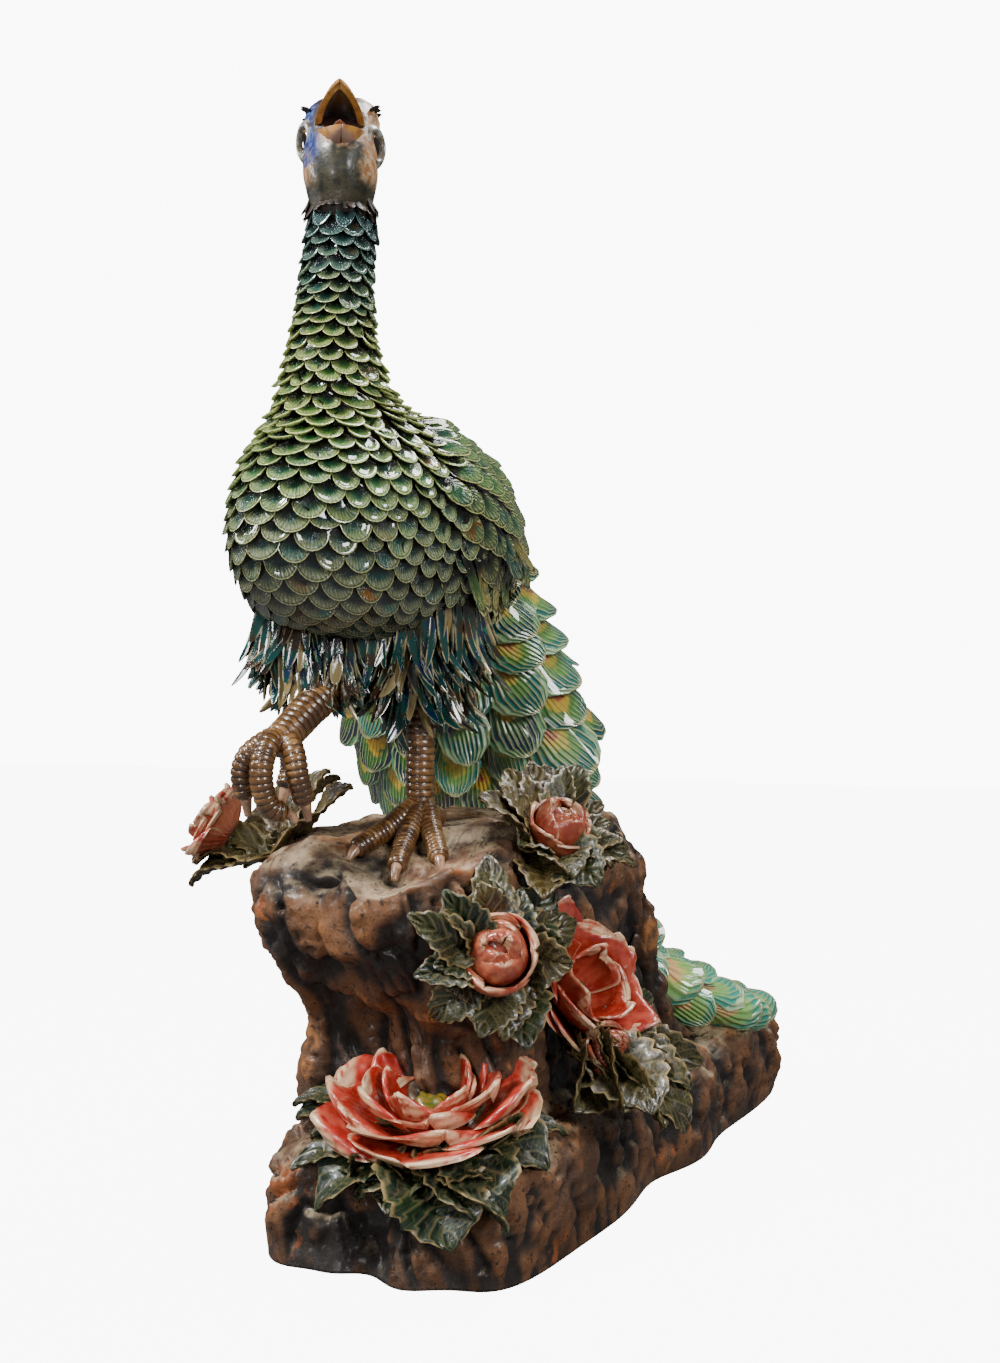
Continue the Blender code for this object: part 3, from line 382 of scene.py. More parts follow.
def on_tube(stations, t, turn):
    """A point on the tube: the station's centre, plus its side half-axis times the sine and its front
    half-axis times the cosine of the turn."""
    row = smooth(stations, t)
    angle = 2 * np.pi * np.asarray(turn, float)[..., None]
    return row[..., 0:3] + row[..., 3:6] * np.sin(angle) + row[..., 6:9] * np.cos(angle)


def lifted(stations, t, turn, height):
    """The tube's surface raised by height along its normal, which is the cross product of its slopes."""
    t, turn = np.broadcast_arrays(np.asarray(t, float), np.asarray(turn, float))
    along = on_tube(stations, t + 0.01, turn) - on_tube(stations, t - 0.01, turn)
    around = on_tube(stations, t, turn + 0.01) - on_tube(stations, t, turn - 0.01)
    normal = unit(np.cross(along, around))
    point = on_tube(stations, t, turn)
    normal *= np.sign((normal * (point - smooth(stations, t)[..., 0:3])).sum(-1, keepdims=True))
    return point + normal * np.asarray(height, float)[..., None]


def wing_away(t, turn, half_turn):
    """How far a place is from the wing's middle, where 1 is on the oval: the sum of the squares of the
    shares of its reach in stations and in turns."""
    return ((t - WING_STATION) / WING_STATIONS) ** 2 + ((turn - WING_TURN) / half_turn) ** 2


def wing_swell(t, turn):
    """How far a folded wing stands off either flank: a smooth hump over the wing's oval."""
    hump = np.clip((1.15 - wing_away(t, np.abs(np.mod(turn + 0.5, 1) - 0.5), WING_TURNS)) / 0.60, 0, 1)
    return WING_SWELL * hump * hump * (3 - 2 * hump)


body_line = bird_tube(BODY)
# Near-black clay under the scales, blades and feathers: painted shade where it shows in the gaps.
painted_shade_clay = mottled("painted_shade_clay", colour(16, 12, 8), colour(40, 27, 15), 0.01, roughness=0.35)
t, turn = round_grid(14, 110, 120)
body = lifted(body_line, t, turn, wing_swell(t, turn) - 0.0015)
skin("body_core", body, painted_shade_clay, "feather_glaze", crease=180)

# Scales of the neck, breast and back. Each is a small shell of clay pressed on over the row below it,
# ribbed with a tool, with a rolled rim on the neck. Green, teal and navy glazes run into each other.

# Way down the front in metres: pitch of the rows, width of a scale, how far its tip stands off, rim.
SCALES = [
    (0.000, 0.0165, 0.0205, 0.0046, 0.0012),
    (0.016, 0.0104, 0.0178, 0.0050, 0.0018),
    (0.10, 0.0098, 0.0185, 0.0058, 0.0020),
    (0.18, 0.0104, 0.0225, 0.0062, 0.0022),
    (0.25, 0.0120, 0.0255, 0.0056, 0.0018),
    (0.34, 0.0135, 0.0285, 0.0042, 0.0009),
    (0.46, 0.0130, 0.0285, 0.0034, 0.0005),
    (0.60, 0.0130, 0.0285, 0.0034, 0.0005),
]
# The glaze at a share of the bird's height: the middle of a scale, then its rim.
SCALE_GLAZES = [
    (0.25, (6, 16, 18), (124, 122, 92)),
    (0.34, (2, 32, 40), (140, 142, 98)),
    (0.42, (2, 64, 58), (164, 170, 108)),
    (0.49, (6, 96, 58), (186, 204, 122)),
    (0.56, (30, 106, 36), (212, 220, 134)),
    (0.66, (34, 98, 34), (208, 214, 126)),
    (0.72, (8, 68, 48), (180, 194, 130)),
    (0.78, (4, 36, 42), (120, 154, 132)),
    (0.85, (4, 18, 26), (78, 114, 112)),
]
# A scale's local points, from -1 to 1: five rings of its half-disc, and how far each one follows the rim.
SCALE_RINGS = np.array([0.48, 0.74, 0.88, 0.99, 0.90])[:, None]
SCALE_RIM = np.array([-0.3, 0.1, 1.0, 0.5, -1.2])[:, None]
scale_turn = np.radians([-105, -82, -60, -40, -20, 0, 20, 40, 60, 82, 105, 180])[None]
SCALE_X, SCALE_Y = SCALE_RINGS * np.sin(scale_turn), SCALE_RINGS * np.cos(scale_turn)
SCALE_SLOPE = np.clip(0.5 + 0.5 * SCALE_Y, 0, 1)
chance = np.random.default_rng(7)


def painted(glazes, share, part):
    """Glaze colours at a share along a table of (share, colours...), mixed in between in linear light."""
    stops = np.array([colour(*row[part])[:3] for row in glazes])
    return np.stack([np.interp(share, [row[0] for row in glazes], stops[:, k]) for k in range(3)], -1)


def columns_at(rows, way, *columns):
    """The values of the columns at each way down, mixed in between rows."""
    rows = np.array(rows)
    return [np.interp(way, rows[:, 0], rows[:, k]) for k in columns]


def each(values):
    """One value or colour to each copy, spread over the whole of its grid."""
    return np.asarray(values).reshape(len(values), 1, 1, -1)


def places_on(stations, start, end, rows, offset=0.0):
    """Where feathers sit on a tube: rows at equal ways down every line of the tube, and in each row
    feathers at equal ways round it, half a step apart from row to row. Gives station, turn and way."""
    turns, fine = np.linspace(-0.5, 0.5, 181), np.linspace(start, end, 400)
    points = on_tube(stations, fine[None], turns[:, None])
    way = np.cumsum(np.linalg.norm(np.diff(points, axis=1, prepend=points[:, :1]), axis=-1), axis=1)
    found, row_way, number = [], offset, 0
    while row_way < way[:, -1].max():
        pitch, width = columns_at(rows, row_way, 1, 2)
        t = np.array([np.interp(row_way, line, fine, right=np.nan) for line in way])
        ring = on_tube(stations, np.nan_to_num(t, nan=end), turns)
        round_way = np.cumsum(np.linalg.norm(np.diff(ring, axis=0, prepend=ring[:1]), axis=1))
        count = max(5, round(round_way[-1] / width))
        middle = round_way[90] + (np.arange(count) + 0.5 * (number % 2) - count // 2) * round_way[-1] / count
        turn = np.interp(np.mod(middle, round_way[-1]), round_way, turns)
        here = np.interp(turn, turns, t)
        kept = ~np.isnan(here)
        found.append(np.stack([here, turn, np.full(count, row_way)], -1)[kept])
        row_way += pitch
        number += 1
    return np.concatenate(found)


def on_skin(stations, t, turn, angle, x, y, height, swell=None):
    """Local metres on a tube: y down it and x round it from each place, turned by angle, and height off it.
    The station and the turn change by the local metres over the length of the surface's own slopes."""
    down = on_tube(stations, t + 0.02, turn) - on_tube(stations, t - 0.02, turn)
    across = on_tube(stations, t, turn + 0.01) - on_tube(stations, t, turn - 0.01)
    wide = (slice(None),) + (None,) * (x.ndim - 1)
    down = np.linalg.norm(down, axis=-1)[wide] / 0.04
    across = np.linalg.norm(across, axis=-1)[wide] / 0.02
    c, s = np.cos(angle)[wide], np.sin(angle)[wide]
    t_here = t[wide] + (y * c - x * s) / down
    turn_here = turn[wide] + (x * c + y * s) / across
    if swell:
        height = height + swell(t_here, turn_here)
    return lifted(stations, t_here, turn_here, height)


def shell_glaze(name, ribs_count, depth, wash, shade):
    """Glaze of a ribbed shell: its own tint runs towards the rim's by the share wash, with ribs as the sine
    of the angle from the root, a dark line inside the pale rim, painted shade over the upper part by the
    share shade, and near-black painted shade at the covered root."""
    glaze = Glaze(name, None, roughness=0.16, coat=0.9, coat_roughness=0.05)
    across, down, chosen = glaze.parts(glaze.attribute("place", "Vector"))
    radius = glaze.long(across, down)
    fan = glaze.maths("ARCTAN2", across, glaze.maths("ADD", down, 0.65))
    fan = glaze.maths("ADD", fan, glaze.centred(glaze.noise(0.006), 0.3))
    ribs = glaze.maths("SINE", glaze.times(fan, ribs_count))
    inner, edge = glaze.attribute("tint", "Color"), glaze.attribute("rim_tint", "Color")
    washed = glaze.maths("ADD", radius, glaze.centred(glaze.noise(0.008), 0.9))
    glaze.tone = inner
    glaze.lay(glaze.mix(wash, inner, edge), glaze.step(washed, 0.10, 1.00))
    glaze.lay(colour(112, 70, 18), glaze.step(chosen, 0.90, 0.98), glaze.patches(0.012, 2.0, 0.42, 0.60))
    glaze.lay(colour(6, 74, 70), glaze.patches(0.022, 2.0, 0.54, 0.66), 0.8)
    glaze.lay(edge, glaze.step(ribs, 0.2, 0.95), glaze.step(radius, 0.25, 0.80), 0.38)
    glaze.lay(colour(10, 12, 8), glaze.step(radius, 0.82, 0.88), 0.70)
    glaze.lay(edge, glaze.step(radius, 0.89, 0.95))
    # Painted shade over the upper part, under the shell above, by the share shade; near black at the root.
    glaze.lay(colour(7, 18, 16), glaze.step(down, 0.62, 0.0), shade)
    glaze.lay(colour(12, 10, 7), glaze.step(down, 0.12, -0.22))
    return glaze.finish(glaze.maths("MULTIPLY_ADD", glaze.noise(0.003), 0.5, ribs), depth)


places = places_on(body_line, 0.15, 13.9, SCALES, offset=0.004)
t, turn, way = places[wing_swell(places[:, 0], places[:, 1]) < 0.0035].T
count = len(t)
pitch, width, stand, rim = (column[:, None, None] for column in columns_at(SCALES, way, 1, 2, 3, 4))
tone = chance.random(count)
jitter = chance.normal(0, 1, (count, 4))[:, :, None, None]
half_width = 0.515 * width * (1 + 0.085 * jitter[:, 0])
half_length = (0.0040 + 0.82 * pitch) * (1 + 0.08 * jitter[:, 1])
x = SCALE_X * half_width + 0.0009 * jitter[:, 2]
y = SCALE_Y * half_length + 0.0011 * jitter[:, 3] * (way > 0.010)[:, None, None]
height = stand * (SCALE_SLOPE**1.2 * (1 + 0.16 * jitter[:, 2]) + 0.16 * jitter[:, 3] * SCALE_X * SCALE_SLOPE)
bowl = 0.085 * width * (1 - SCALE_RINGS**2) * SCALE_SLOPE
height = height + rim * SCALE_RIM * (0.3 + 0.7 * SCALE_SLOPE) - bowl - 0.0014 * (1 - SCALE_SLOPE)
scales = on_skin(body_line, t, turn, 0.07 * jitter[:, 0, 0, 0], x, y, height, wing_swell)
share = (scales[:, 0, 0, 2] - FOOT[2]) / BIRD + 0.012 * jitter[:, 1, 0, 0]
tints = {
    "tint": each(painted(SCALE_GLAZES, share, 1) * (1 + 0.8 * (tone[:, None] - 0.5))),
    "rim_tint": each(painted(SCALE_GLAZES, share, 2)),
    "place": stacked(SCALE_X, SCALE_Y, chance.random(count)[:, None, None]),
}
scale_glaze = shell_glaze("scale_glaze", 40.0, 0.0004, 0.46, 0.75)
skin("scales", scales, scale_glaze, "feather_glaze", crease=75, **tints)

# Wings. Each is folded against the flank and covered with larger ribbed shells that point back and down,
# with long narrow flight feathers of grooved clay under them.

# Between columns and down each column, half the width and length of a shell and how far its tip stands off.
WING_COLUMN, WING_STEP = 0.0158, 0.0235
SHELL_HALF_WIDTH, SHELL_HALF_LENGTH, SHELL_STAND = 0.0122, 0.0180, 0.0100
# Number of columns, the first one's turn, metres round the body there and half the turns that shells reach.
WING_COLUMNS, FIRST_TURN, ROUND_BODY, SHELL_TURNS = 16, 0.222, 0.92, 0.124
# Half the width and the length of a flight feather, then how thick it is and how deep its groove.
FLIGHT_HALF_WIDTH, FLIGHT_LENGTH, FLIGHT_THICK, FLIGHT_GROOVE = 0.0066, 0.070, 0.0014, 0.0020
# Rows of flight feathers: how many, their station, then the first one's turn and the last one's.
FLIGHTS = [(13, 10.1, 0.235, 0.44), (11, 9.4, 0.27, 0.46)]
# The glaze at a share of the bird's height: the middle of a shell, then its rim.
WING_TINTS = [(0.34, (6, 46, 40)), (0.44, (8, 84, 54)), (0.52, (26, 116, 52)), (0.60, (82, 150, 82))]
WING_RIMS = [(0.34, (166, 160, 98)), (0.50, (204, 208, 132)), (0.60, (228, 230, 164))]
FLIGHT_TINTS = [(66, 104, 42), (8, 76, 72), (146, 136, 70), (10, 40, 56)]


def way_along(points):
    """The way from the first point to each one, as the sum of the steps between them."""
    return np.concatenate([[0], np.cumsum(np.linalg.norm(np.diff(points, axis=0), axis=1))])


def wing_places():
    """Stations and turns of one wing's shells: columns at equal ways round the widest ring, and in each
    column equal ways down, half a step apart from column to column, kept inside the wing's oval."""
    fine = np.linspace(5.6, 12.0, 300)
    found = []
    for number, turn in enumerate(FIRST_TURN + np.arange(WING_COLUMNS) * WING_COLUMN / ROUND_BODY):
        way = way_along(on_tube(body_line, fine, np.full(300, turn)))
        at = np.interp(np.arange(0.5 * (number % 2), way[-1] / WING_STEP) * WING_STEP, way, fine)
        found.append(np.stack([at, np.full(len(at), turn)], -1))
    found = np.concatenate(found)
    return found[wing_away(*found.T, SHELL_TURNS) < 1]


def loop(points):
    """Places across a flat form from -1 to 1 over its upper side and back under it, then +1 for the upper
    side and -1 for the lower one, and 0 at the edges."""
    x = np.linspace(-1, 1, points)
    over = np.ones(points - 2)
    return np.concatenate([x, x[-2:0:-1]]), np.concatenate([[0], over, [0], -over])


wing_glaze = shell_glaze("wing_glaze", 30.0, 0.0010, 0.16, 0.20)
wing = wing_places()
across, over = loop(7)
s = np.linspace(0, 1, 10)[:, None]
for side, label in ((1, "left"), (-1, "right")):
    t, turn = wing.T
    count = len(wing)
    jitter = chance.normal(0, 1, (count, 4))[:, :, None, None]
    x = SCALE_X * SHELL_HALF_WIDTH * (1 + 0.05 * jitter[:, 0])
    y = SCALE_Y * SHELL_HALF_LENGTH * (1 + 0.05 * jitter[:, 1])
    height = SHELL_STAND * SCALE_SLOPE**1.2 * (1 + 0.15 * jitter[:, 2]) - 0.001
    height = height + 0.0008 * SCALE_RIM + 0.0026 * (1 - SCALE_RINGS**2) * SCALE_SLOPE
    angle = side * (np.radians(50) + 0.08 * jitter[:, 3, 0, 0] - 0.10 * (t - 8.6))
    shells = on_skin(body_line, t, side * turn, angle, x, y, height, wing_swell)
    high = (shells[:, 0, 0, 2] - FOOT[2]) / BIRD
    brown = chance.random((count, 1)) * 0.30
    tint = painted(WING_TINTS, high, 1) * (1 - brown) + brown * np.array(colour(84, 60, 22)[:3])
    tints = {
        "tint": each(tint * chance.uniform(0.6, 1.1, (count, 1))),
        "rim_tint": each(painted(WING_RIMS, high, 1)),
        "place": stacked(SCALE_X, SCALE_Y, chance.random(count)[:, None, None]),
    }
    skin(f"wing_{label}", shells, wing_glaze, "feather_glaze", crease=75, **tints)

    # Flight feathers: two rows from under the shells, each a long tongue with a groove down its middle.
    t = np.concatenate([np.full(number, station) for number, station, _, _ in FLIGHTS])
    turn = np.concatenate([np.linspace(first, last, number) for number, _, first, last in FLIGHTS])
    count = len(t)
    t = t + chance.normal(0, 0.12, count)
    jitter = chance.normal(0, 1, (count, 3))[:, :, None, None]
    outline = np.sqrt(np.clip(1 - np.abs(1.15 * s - 0.15) ** 5, 0.05, 1)) * (0.75 + 0.25 * s)
    x = across * outline * FLIGHT_HALF_WIDTH * (1 + 0.10 * jitter[:, 2]) + 0.009 * jitter[:, 2] * s**2
    y = s * (FLIGHT_LENGTH + 0.007 * jitter[:, 0]) + 0 * across
    groove = FLIGHT_GROOVE * np.exp(-((across / 0.3) ** 2)) * (over > 0)
    height = 0.003 + (0.008 + 0.004 * jitter[:, 1]) * s**1.4 + 0.006 * s**5 + over * FLIGHT_THICK - groove
    angle = side * (np.radians(38) + 0.12 * jitter[:, 1, 0, 0])
    tongues = on_skin(body_line, t, side * turn, angle, x, y, height, wing_swell)
    tints = {
        "tint": each(np.array([colour(*tint)[:3] for tint in FLIGHT_TINTS])[chance.integers(0, 4, count)]),
        "rim_tint": each(np.tile(colour(204, 196, 136)[:3], (count, 1))),
        "place": stacked(0.5 * across, 1.6 * s - 0.65, chance.random(count)[:, None, None]),
    }
    skin(f"flights_{label}", tongues, wing_glaze, "feather_glaze", crease=75, **tints)

# Head. An egg of clay with the beak thrown wide open, bulging eyes with thick lids and a small crest.

FORWARD, SIDEWAYS = np.array([0.438, -0.899, 0.0]), np.array([0.899, 0.438, 0.0])
HEAD_BASE = on_bird(-0.047, -0.140, 0.853)
UP = np.array([0.0, 0.0, 1.0])
# Forward shift, height, half-width and half-length of the head, as shares of the bird's height.
HEAD = [
    (0.000, -0.020, 0.041, 0.043),
    (0.004, 0.008, 0.044, 0.051),
    (0.006, 0.040, 0.050, 0.058),
    (0.004, 0.072, 0.0515, 0.056),
    (-0.002, 0.100, 0.0520, 0.048),
    (-0.010, 0.124, 0.0520, 0.042),
    (-0.016, 0.143, 0.0470, 0.034),
    (-0.020, 0.155, 0.0350, 0.025),
    (-0.022, 0.161, 0.0160, 0.012),
]
# The beak's halves in shares of the bird: how far up the corners lie, how far the tip rises and reaches,
# then which way it bows and by how much of its half-width.
BEAK = [("upper", 0.100, 0.040, 0.084, -1, 0.45), ("lower", 0.098, -0.005, 0.060, 1, 0.55)]
# Half-width of the outer and the inner side, the wall's thickness, and how much of the length and of the
# way across the inner side takes: what is left is the flat lip.
BEAK_HALF, MOUTH_HALF, BEAK_WALL, MOUTH_LENGTH, MOUTH_ACROSS = 0.0335, 0.0255, 0.0105, 0.87, 0.875
# The eyes: side, name, how many degrees each looks forward, how narrow it is and how high it sits.
EYES = [(1, "left", 36, 0.98, 0.083), (-1, "right", 40, 0.84, 0.090)]
EYE_SIZE, EYE_STAND = 0.0105, 0.0085
# Rings of the ball and of its lid from the middle out: radius and height, in shares of the eye.
EYE_RINGS = [(0.12, 0.50), (0.30, 0.47), (0.55, 0.38), (0.80, 0.10), (0.95, -0.4), (0.85, -1.1)]
LID_RINGS = [(0.70, -0.3), (0.74, 0.30), (0.86, 0.58), (1.02, 0.60), (1.20, 0.38), (1.38, -0.1), (1.42, -1.1)]


def on_head(forward, side, up):
    """A place given from the head's base, in shares of the bird's height."""
    forward, side, up = np.broadcast_arrays(forward, side, up)
    return HEAD_BASE + BIRD * (forward[..., None] * FORWARD + side[..., None] * SIDEWAYS + up[..., None] * UP)


def flat_form(path, face, width, height):
    """A flat form carried along a path: the path's point, plus its sideways direction times width, plus
    the way its upper face looks times height. Sideways is square to the path and to face."""
    ahead = unit(np.gradient(path, axis=-2))
    side = unit(np.cross(np.broadcast_to(face, path.shape), ahead))
    up = np.cross(ahead, side)
    width, height = np.broadcast_arrays(width, height)
    return path[..., None, :] + side[..., None, :] * width[..., None] + up[..., None, :] * height[..., None]


rows = np.array(HEAD)
head_line = np.zeros((len(HEAD), 9))
head_line[:, 0:3] = on_head(rows[:, 0], 0, rows[:, 1])
head_line[:, 3:6] = BIRD * rows[:, 2:3] * SIDEWAYS
head_line[:, 6:9] = BIRD * rows[:, 3:4] * FORWARD
t, turn = round_grid(8, 70, 72)
head = lifted(head_line, t, turn, 0.0008 * cloud(on_tube(head_line, t, turn) * [1, 1, 0.4], 0.006, 11))
glaze = Glaze("head_glaze", colour(26, 26, 16), roughness=0.42, coat=0.16, coat_roughness=0.12)
side_of, height_of, front_of = glaze.parts(glaze.attribute("place", "Vector"))
wash = glaze.noise(0.010, 4.0)
streaky = glaze.centred(wash, 0.5)
high = glaze.maths("ADD", height_of, streaky)
beside = glaze.maths("ADD", glaze.maths("ABSOLUTE", side_of), streaky)
glaze.lay(colour(52, 48, 28), glaze.step(wash, 0.4, 0.6))
cheek = glaze.mix(glaze.patches(0.006, 4.0, 0.42, 0.60), colour(140, 94, 54), colour(176, 148, 114))
glaze.lay(cheek, glaze.step(beside, 0.55, 0.85), glaze.step(height_of, 0.22, 0.34))
crown = glaze.mix(glaze.patches(0.004, 3.0, 0.45, 0.60), colour(132, 92, 60), colour(172, 142, 108))
glaze.lay(crown, glaze.step(high, 0.46, 0.60))
blue = glaze.mix(glaze.patches(0.004, 2.0, 0.45, 0.65), colour(10, 24, 96), colour(74, 98, 150))
shares = glaze.step(side_of, -0.38, -0.62), glaze.step(front_of, -0.20, 0.10), glaze.step(high, 0.36, 0.46)
glaze.lay(blue, *shares)
glaze.lay(colour(40, 26, 16), glaze.step(height_of, 0.20, 0.06))
# Painted shade, near black, where the head shows through the open beak.
glaze.lay(colour(30, 12, 8), glaze.step(height_of, 0.60, 0.66), glaze.step(front_of, 0.66, 0.78))
glaze.finish(glaze.noise(0.003), 0.0004)
place = stacked(np.sin(2 * np.pi * turn), t / 6, np.cos(2 * np.pi * turn))
skin("head", head, glaze.material, "skin_glaze", crease=180, place=place)

# Beak: two shells whose inner side is a smaller copy of the outer one, with a flat lip between them.
glaze = Glaze("beak_glaze", colour(186, 130, 58), roughness=0.32, coat=0.45)
across, down, inner = glaze.parts(glaze.attribute("place", "Vector"))
off_middle = glaze.maths("ABSOLUTE", across)
ragged = glaze.maths("ADD", off_middle, glaze.centred(glaze.noise(0.006), 0.4))
glaze.lay(colour(150, 98, 46), glaze.patches(0.010, 3.0, 0.4, 0.65))
seam = glaze.mix(glaze.step(off_middle, 0.10, 0.03), colour(142, 108, 92), colour(66, 40, 32))
glaze.lay(seam, glaze.step(ragged, 0.95, 0.62))
# The inner side of the beak is brown, darkened by painted shade to near black towards the throat.
throat = glaze.mix(glaze.step(down, 0.30, 0.85), colour(26, 13, 8), colour(84, 56, 24))
glaze.lay(throat, glaze.step(inner, 0.04, 0.22))
glaze.finish(glaze.noise(0.003), 0.0003)
x, over = loop(17)
s = (1 - np.cos(np.pi * np.linspace(0, 1, 28)[:, None])) / 2
inside = over > 0
x = np.where(inside, x / MOUTH_ACROSS, x)
for label, corner, tip_rise, reach, bow, depth in BEAK:
    along = s * np.where(inside, MOUTH_LENGTH, 1.0)
    half = np.where(inside, MOUTH_HALF, BEAK_HALF) * np.clip(1 - s**2.3, 0, 1) ** 0.85 + 0.0008
    sag = bow * depth * half * (1 - np.abs(x) ** 2.2)
    wall = bow * np.where(inside, 0.0, BEAK_WALL) * (0.4 + 0.6 * half / BEAK_HALF) * (1 - np.abs(x) ** 6)
    up = corner + tip_rise * along**1.15 - sag - wall
    shell = on_head(0.018 + reach * along, half * x + 0.008 * along, up)
    inner = inside * (1 - np.abs(x) ** 3) * np.clip((1 - s) * 6, 0, 1)
    skin(f"beak_{label}", shell, glaze.material, "skin_glaze", crease=50, place=stacked(x, s, inner))

s = np.linspace(0, 1, 14)
path = on_head(0.010 + 0.052 * s, 0.004 * s, 0.092 + 0.012 * s**1.5)
width = (0.0085 * np.clip(1 - s**2.5, 0, 1) ** 0.7 + 0.0004)[:, None]
angle = np.linspace(0, 2 * np.pi, 20, endpoint=False)
tongue = flat_form(path, UP, width * np.cos(angle), 0.45 * width * np.sin(angle))
tongue_glaze = mottled("tongue_glaze", colour(150, 92, 66), colour(116, 66, 46), 0.008)
skin("tongue", tongue, tongue_glaze, "skin_glaze", crease=180)

# Eyes: each looks out and a little forward, a dark ball in a thick grey lid that stands off the cheek.
glaze = Glaze("eye_glaze", colour(14, 10, 8), roughness=0.1, coat=1.0, coat_roughness=0.02)
glaze.lay(colour(120, 92, 58), glaze.step(glaze.attribute("middle"), 0.45, 0.62))
eye_glaze = glaze.finish()
gloss = {"low": 0.42, "high": 0.62, "bump": 0.0004, "roughness": 0.34, "coat": 0.35}
lid_glaze = mottled("lid_glaze", colour(134, 136, 132), colour(88, 74, 58), 0.007, **gloss)
angle = np.linspace(0, 2 * np.pi, 36, endpoint=False)
for side, label, outward, width, up in EYES:
    c, s = np.cos(np.radians(outward)), np.sin(np.radians(outward))
    look = side * SIDEWAYS * c + FORWARD * s
    ahead = FORWARD * c - side * SIDEWAYS * s
    ring = EYE_SIZE * (np.cos(angle)[:, None] * width * ahead + np.sin(angle)[:, None] * 1.35 * UP)
    for form, material, rings in (("eye", eye_glaze, EYE_RINGS), ("lid", lid_glaze, LID_RINGS)):
        fine = smooth(rings, np.linspace(0, len(rings) - 1, 18))
        radius, high = fine[:, 0, None, None], fine[:, 1, None, None]
        shell = on_head(0.014, side * 0.0455, up) + look * EYE_STAND * high + radius * ring
        middle = np.broadcast_to(radius, shell.shape[:2] + (1,))
        skin(f"{form}_{label}", shell, material, "skin_glaze", crease=180, middle=middle)

# Tufts: short blades at the brows, the crest behind the crown and the ruff where the head meets the neck.
tufts = []
for side in (1, -1):
    k = np.arange(7)
    roots = on_head(0.010 - 0.006 * k, side * 0.041, 0.136 - 0.002 * (k - 2) ** 2 / 4)
    ways = side * SIDEWAYS * chance.uniform(0.004, 0.008, (7, 1)) - FORWARD * 0.002
    ways = ways + UP * chance.uniform(0.002, 0.007, (7, 1))
    tufts.append((roots, ways, np.tile(side * SIDEWAYS * 0.8 - 0.6 * UP, (7, 1))))
k = np.arange(7) - 3
ways = SIDEWAYS * (0.0025 * k)[:, None] - FORWARD * 0.012 + 0.010 * UP
tufts.append((on_head(-0.036, 0.006 * k, 0.150 - 0.001 * np.abs(k)), ways, np.tile(-FORWARD, (7, 1))))
turn = (np.arange(30) + 0.3 * chance.random(30)) / 30
# The ruff has a row all round and one under it that leaves the throat bare: station, turns and length.
for station, turns, fall in ((0.72, turn, 0.012), (1.05, 0.19 + 0.62 * turn, 0.014)):
    around = SIDEWAYS * np.sin(2 * np.pi * turns)[:, None] + FORWARD * np.cos(2 * np.pi * turns)[:, None]
    shorter = np.where(np.abs(np.mod(turns + 0.5, 1) - 0.5) < 0.16, 0.55, 1.0)[:, None]
    ways = around * chance.uniform(0.000, 0.005, (30, 1))
    ways = ways - UP * chance.uniform(0.6, 1.1, (30, 1)) * fall * shorter
    tufts.append((on_tube(head_line, np.full(30, station), turns) - 0.001 * around, ways, around))
roots, ways, faces = (np.concatenate(kind)[:, None] for kind in zip(*tufts))
s = np.linspace(0, 1, 7)[:, None]
x, over = loop(5)
half = 0.0036 * np.sqrt(np.clip(1 - s**3, 0.02, 1))
middle = roots + s * ways + 0.003 * s**2 * faces
blades = flat_form(middle, faces, half * x, half * (0.30 * over + 0.15 * np.abs(x)))
glaze = Glaze("tuft_glaze", colour(20, 13, 8), roughness=0.5, coat=0.12, coat_roughness=0.2)
across, down, chosen = glaze.parts(glaze.attribute("place", "Vector"))
glaze.lay(colour(42, 28, 17), glaze.step(chosen, 0.4, 0.6))
glaze.lay(colour(84, 62, 40), glaze.step(down, 0.6, 1.0), 0.3)
glaze.finish()
place = stacked(x, s, chance.random((len(roots), 1, 1)))
skin("head_tufts", blades, glaze.material, "feather_glaze", crease=70, place=place)

# Legs. Thick coils of clay, ringed with a wooden tool into scutes, with horn-coloured claws. The left leg
# stands on the ledge and the right one is lifted with its toes curled.

# Points in shares of the bird's height, from the foot up, then the radius in metres and how it widens.
LEGS = {
    "leg_standing": ([(0, 0, 0.010), (0, 0, 0.08), (0, 0, 0.17), (-0.01, 0, 0.29)], 0.0125, 1.05),
    "leg_raised": (
        [(-0.074, -0.262, 0.122), (-0.064, -0.205, 0.163), (-0.060, -0.150, 0.205), (-0.085, -0.084, 0.310)],
        0.0137, 1.25),
}
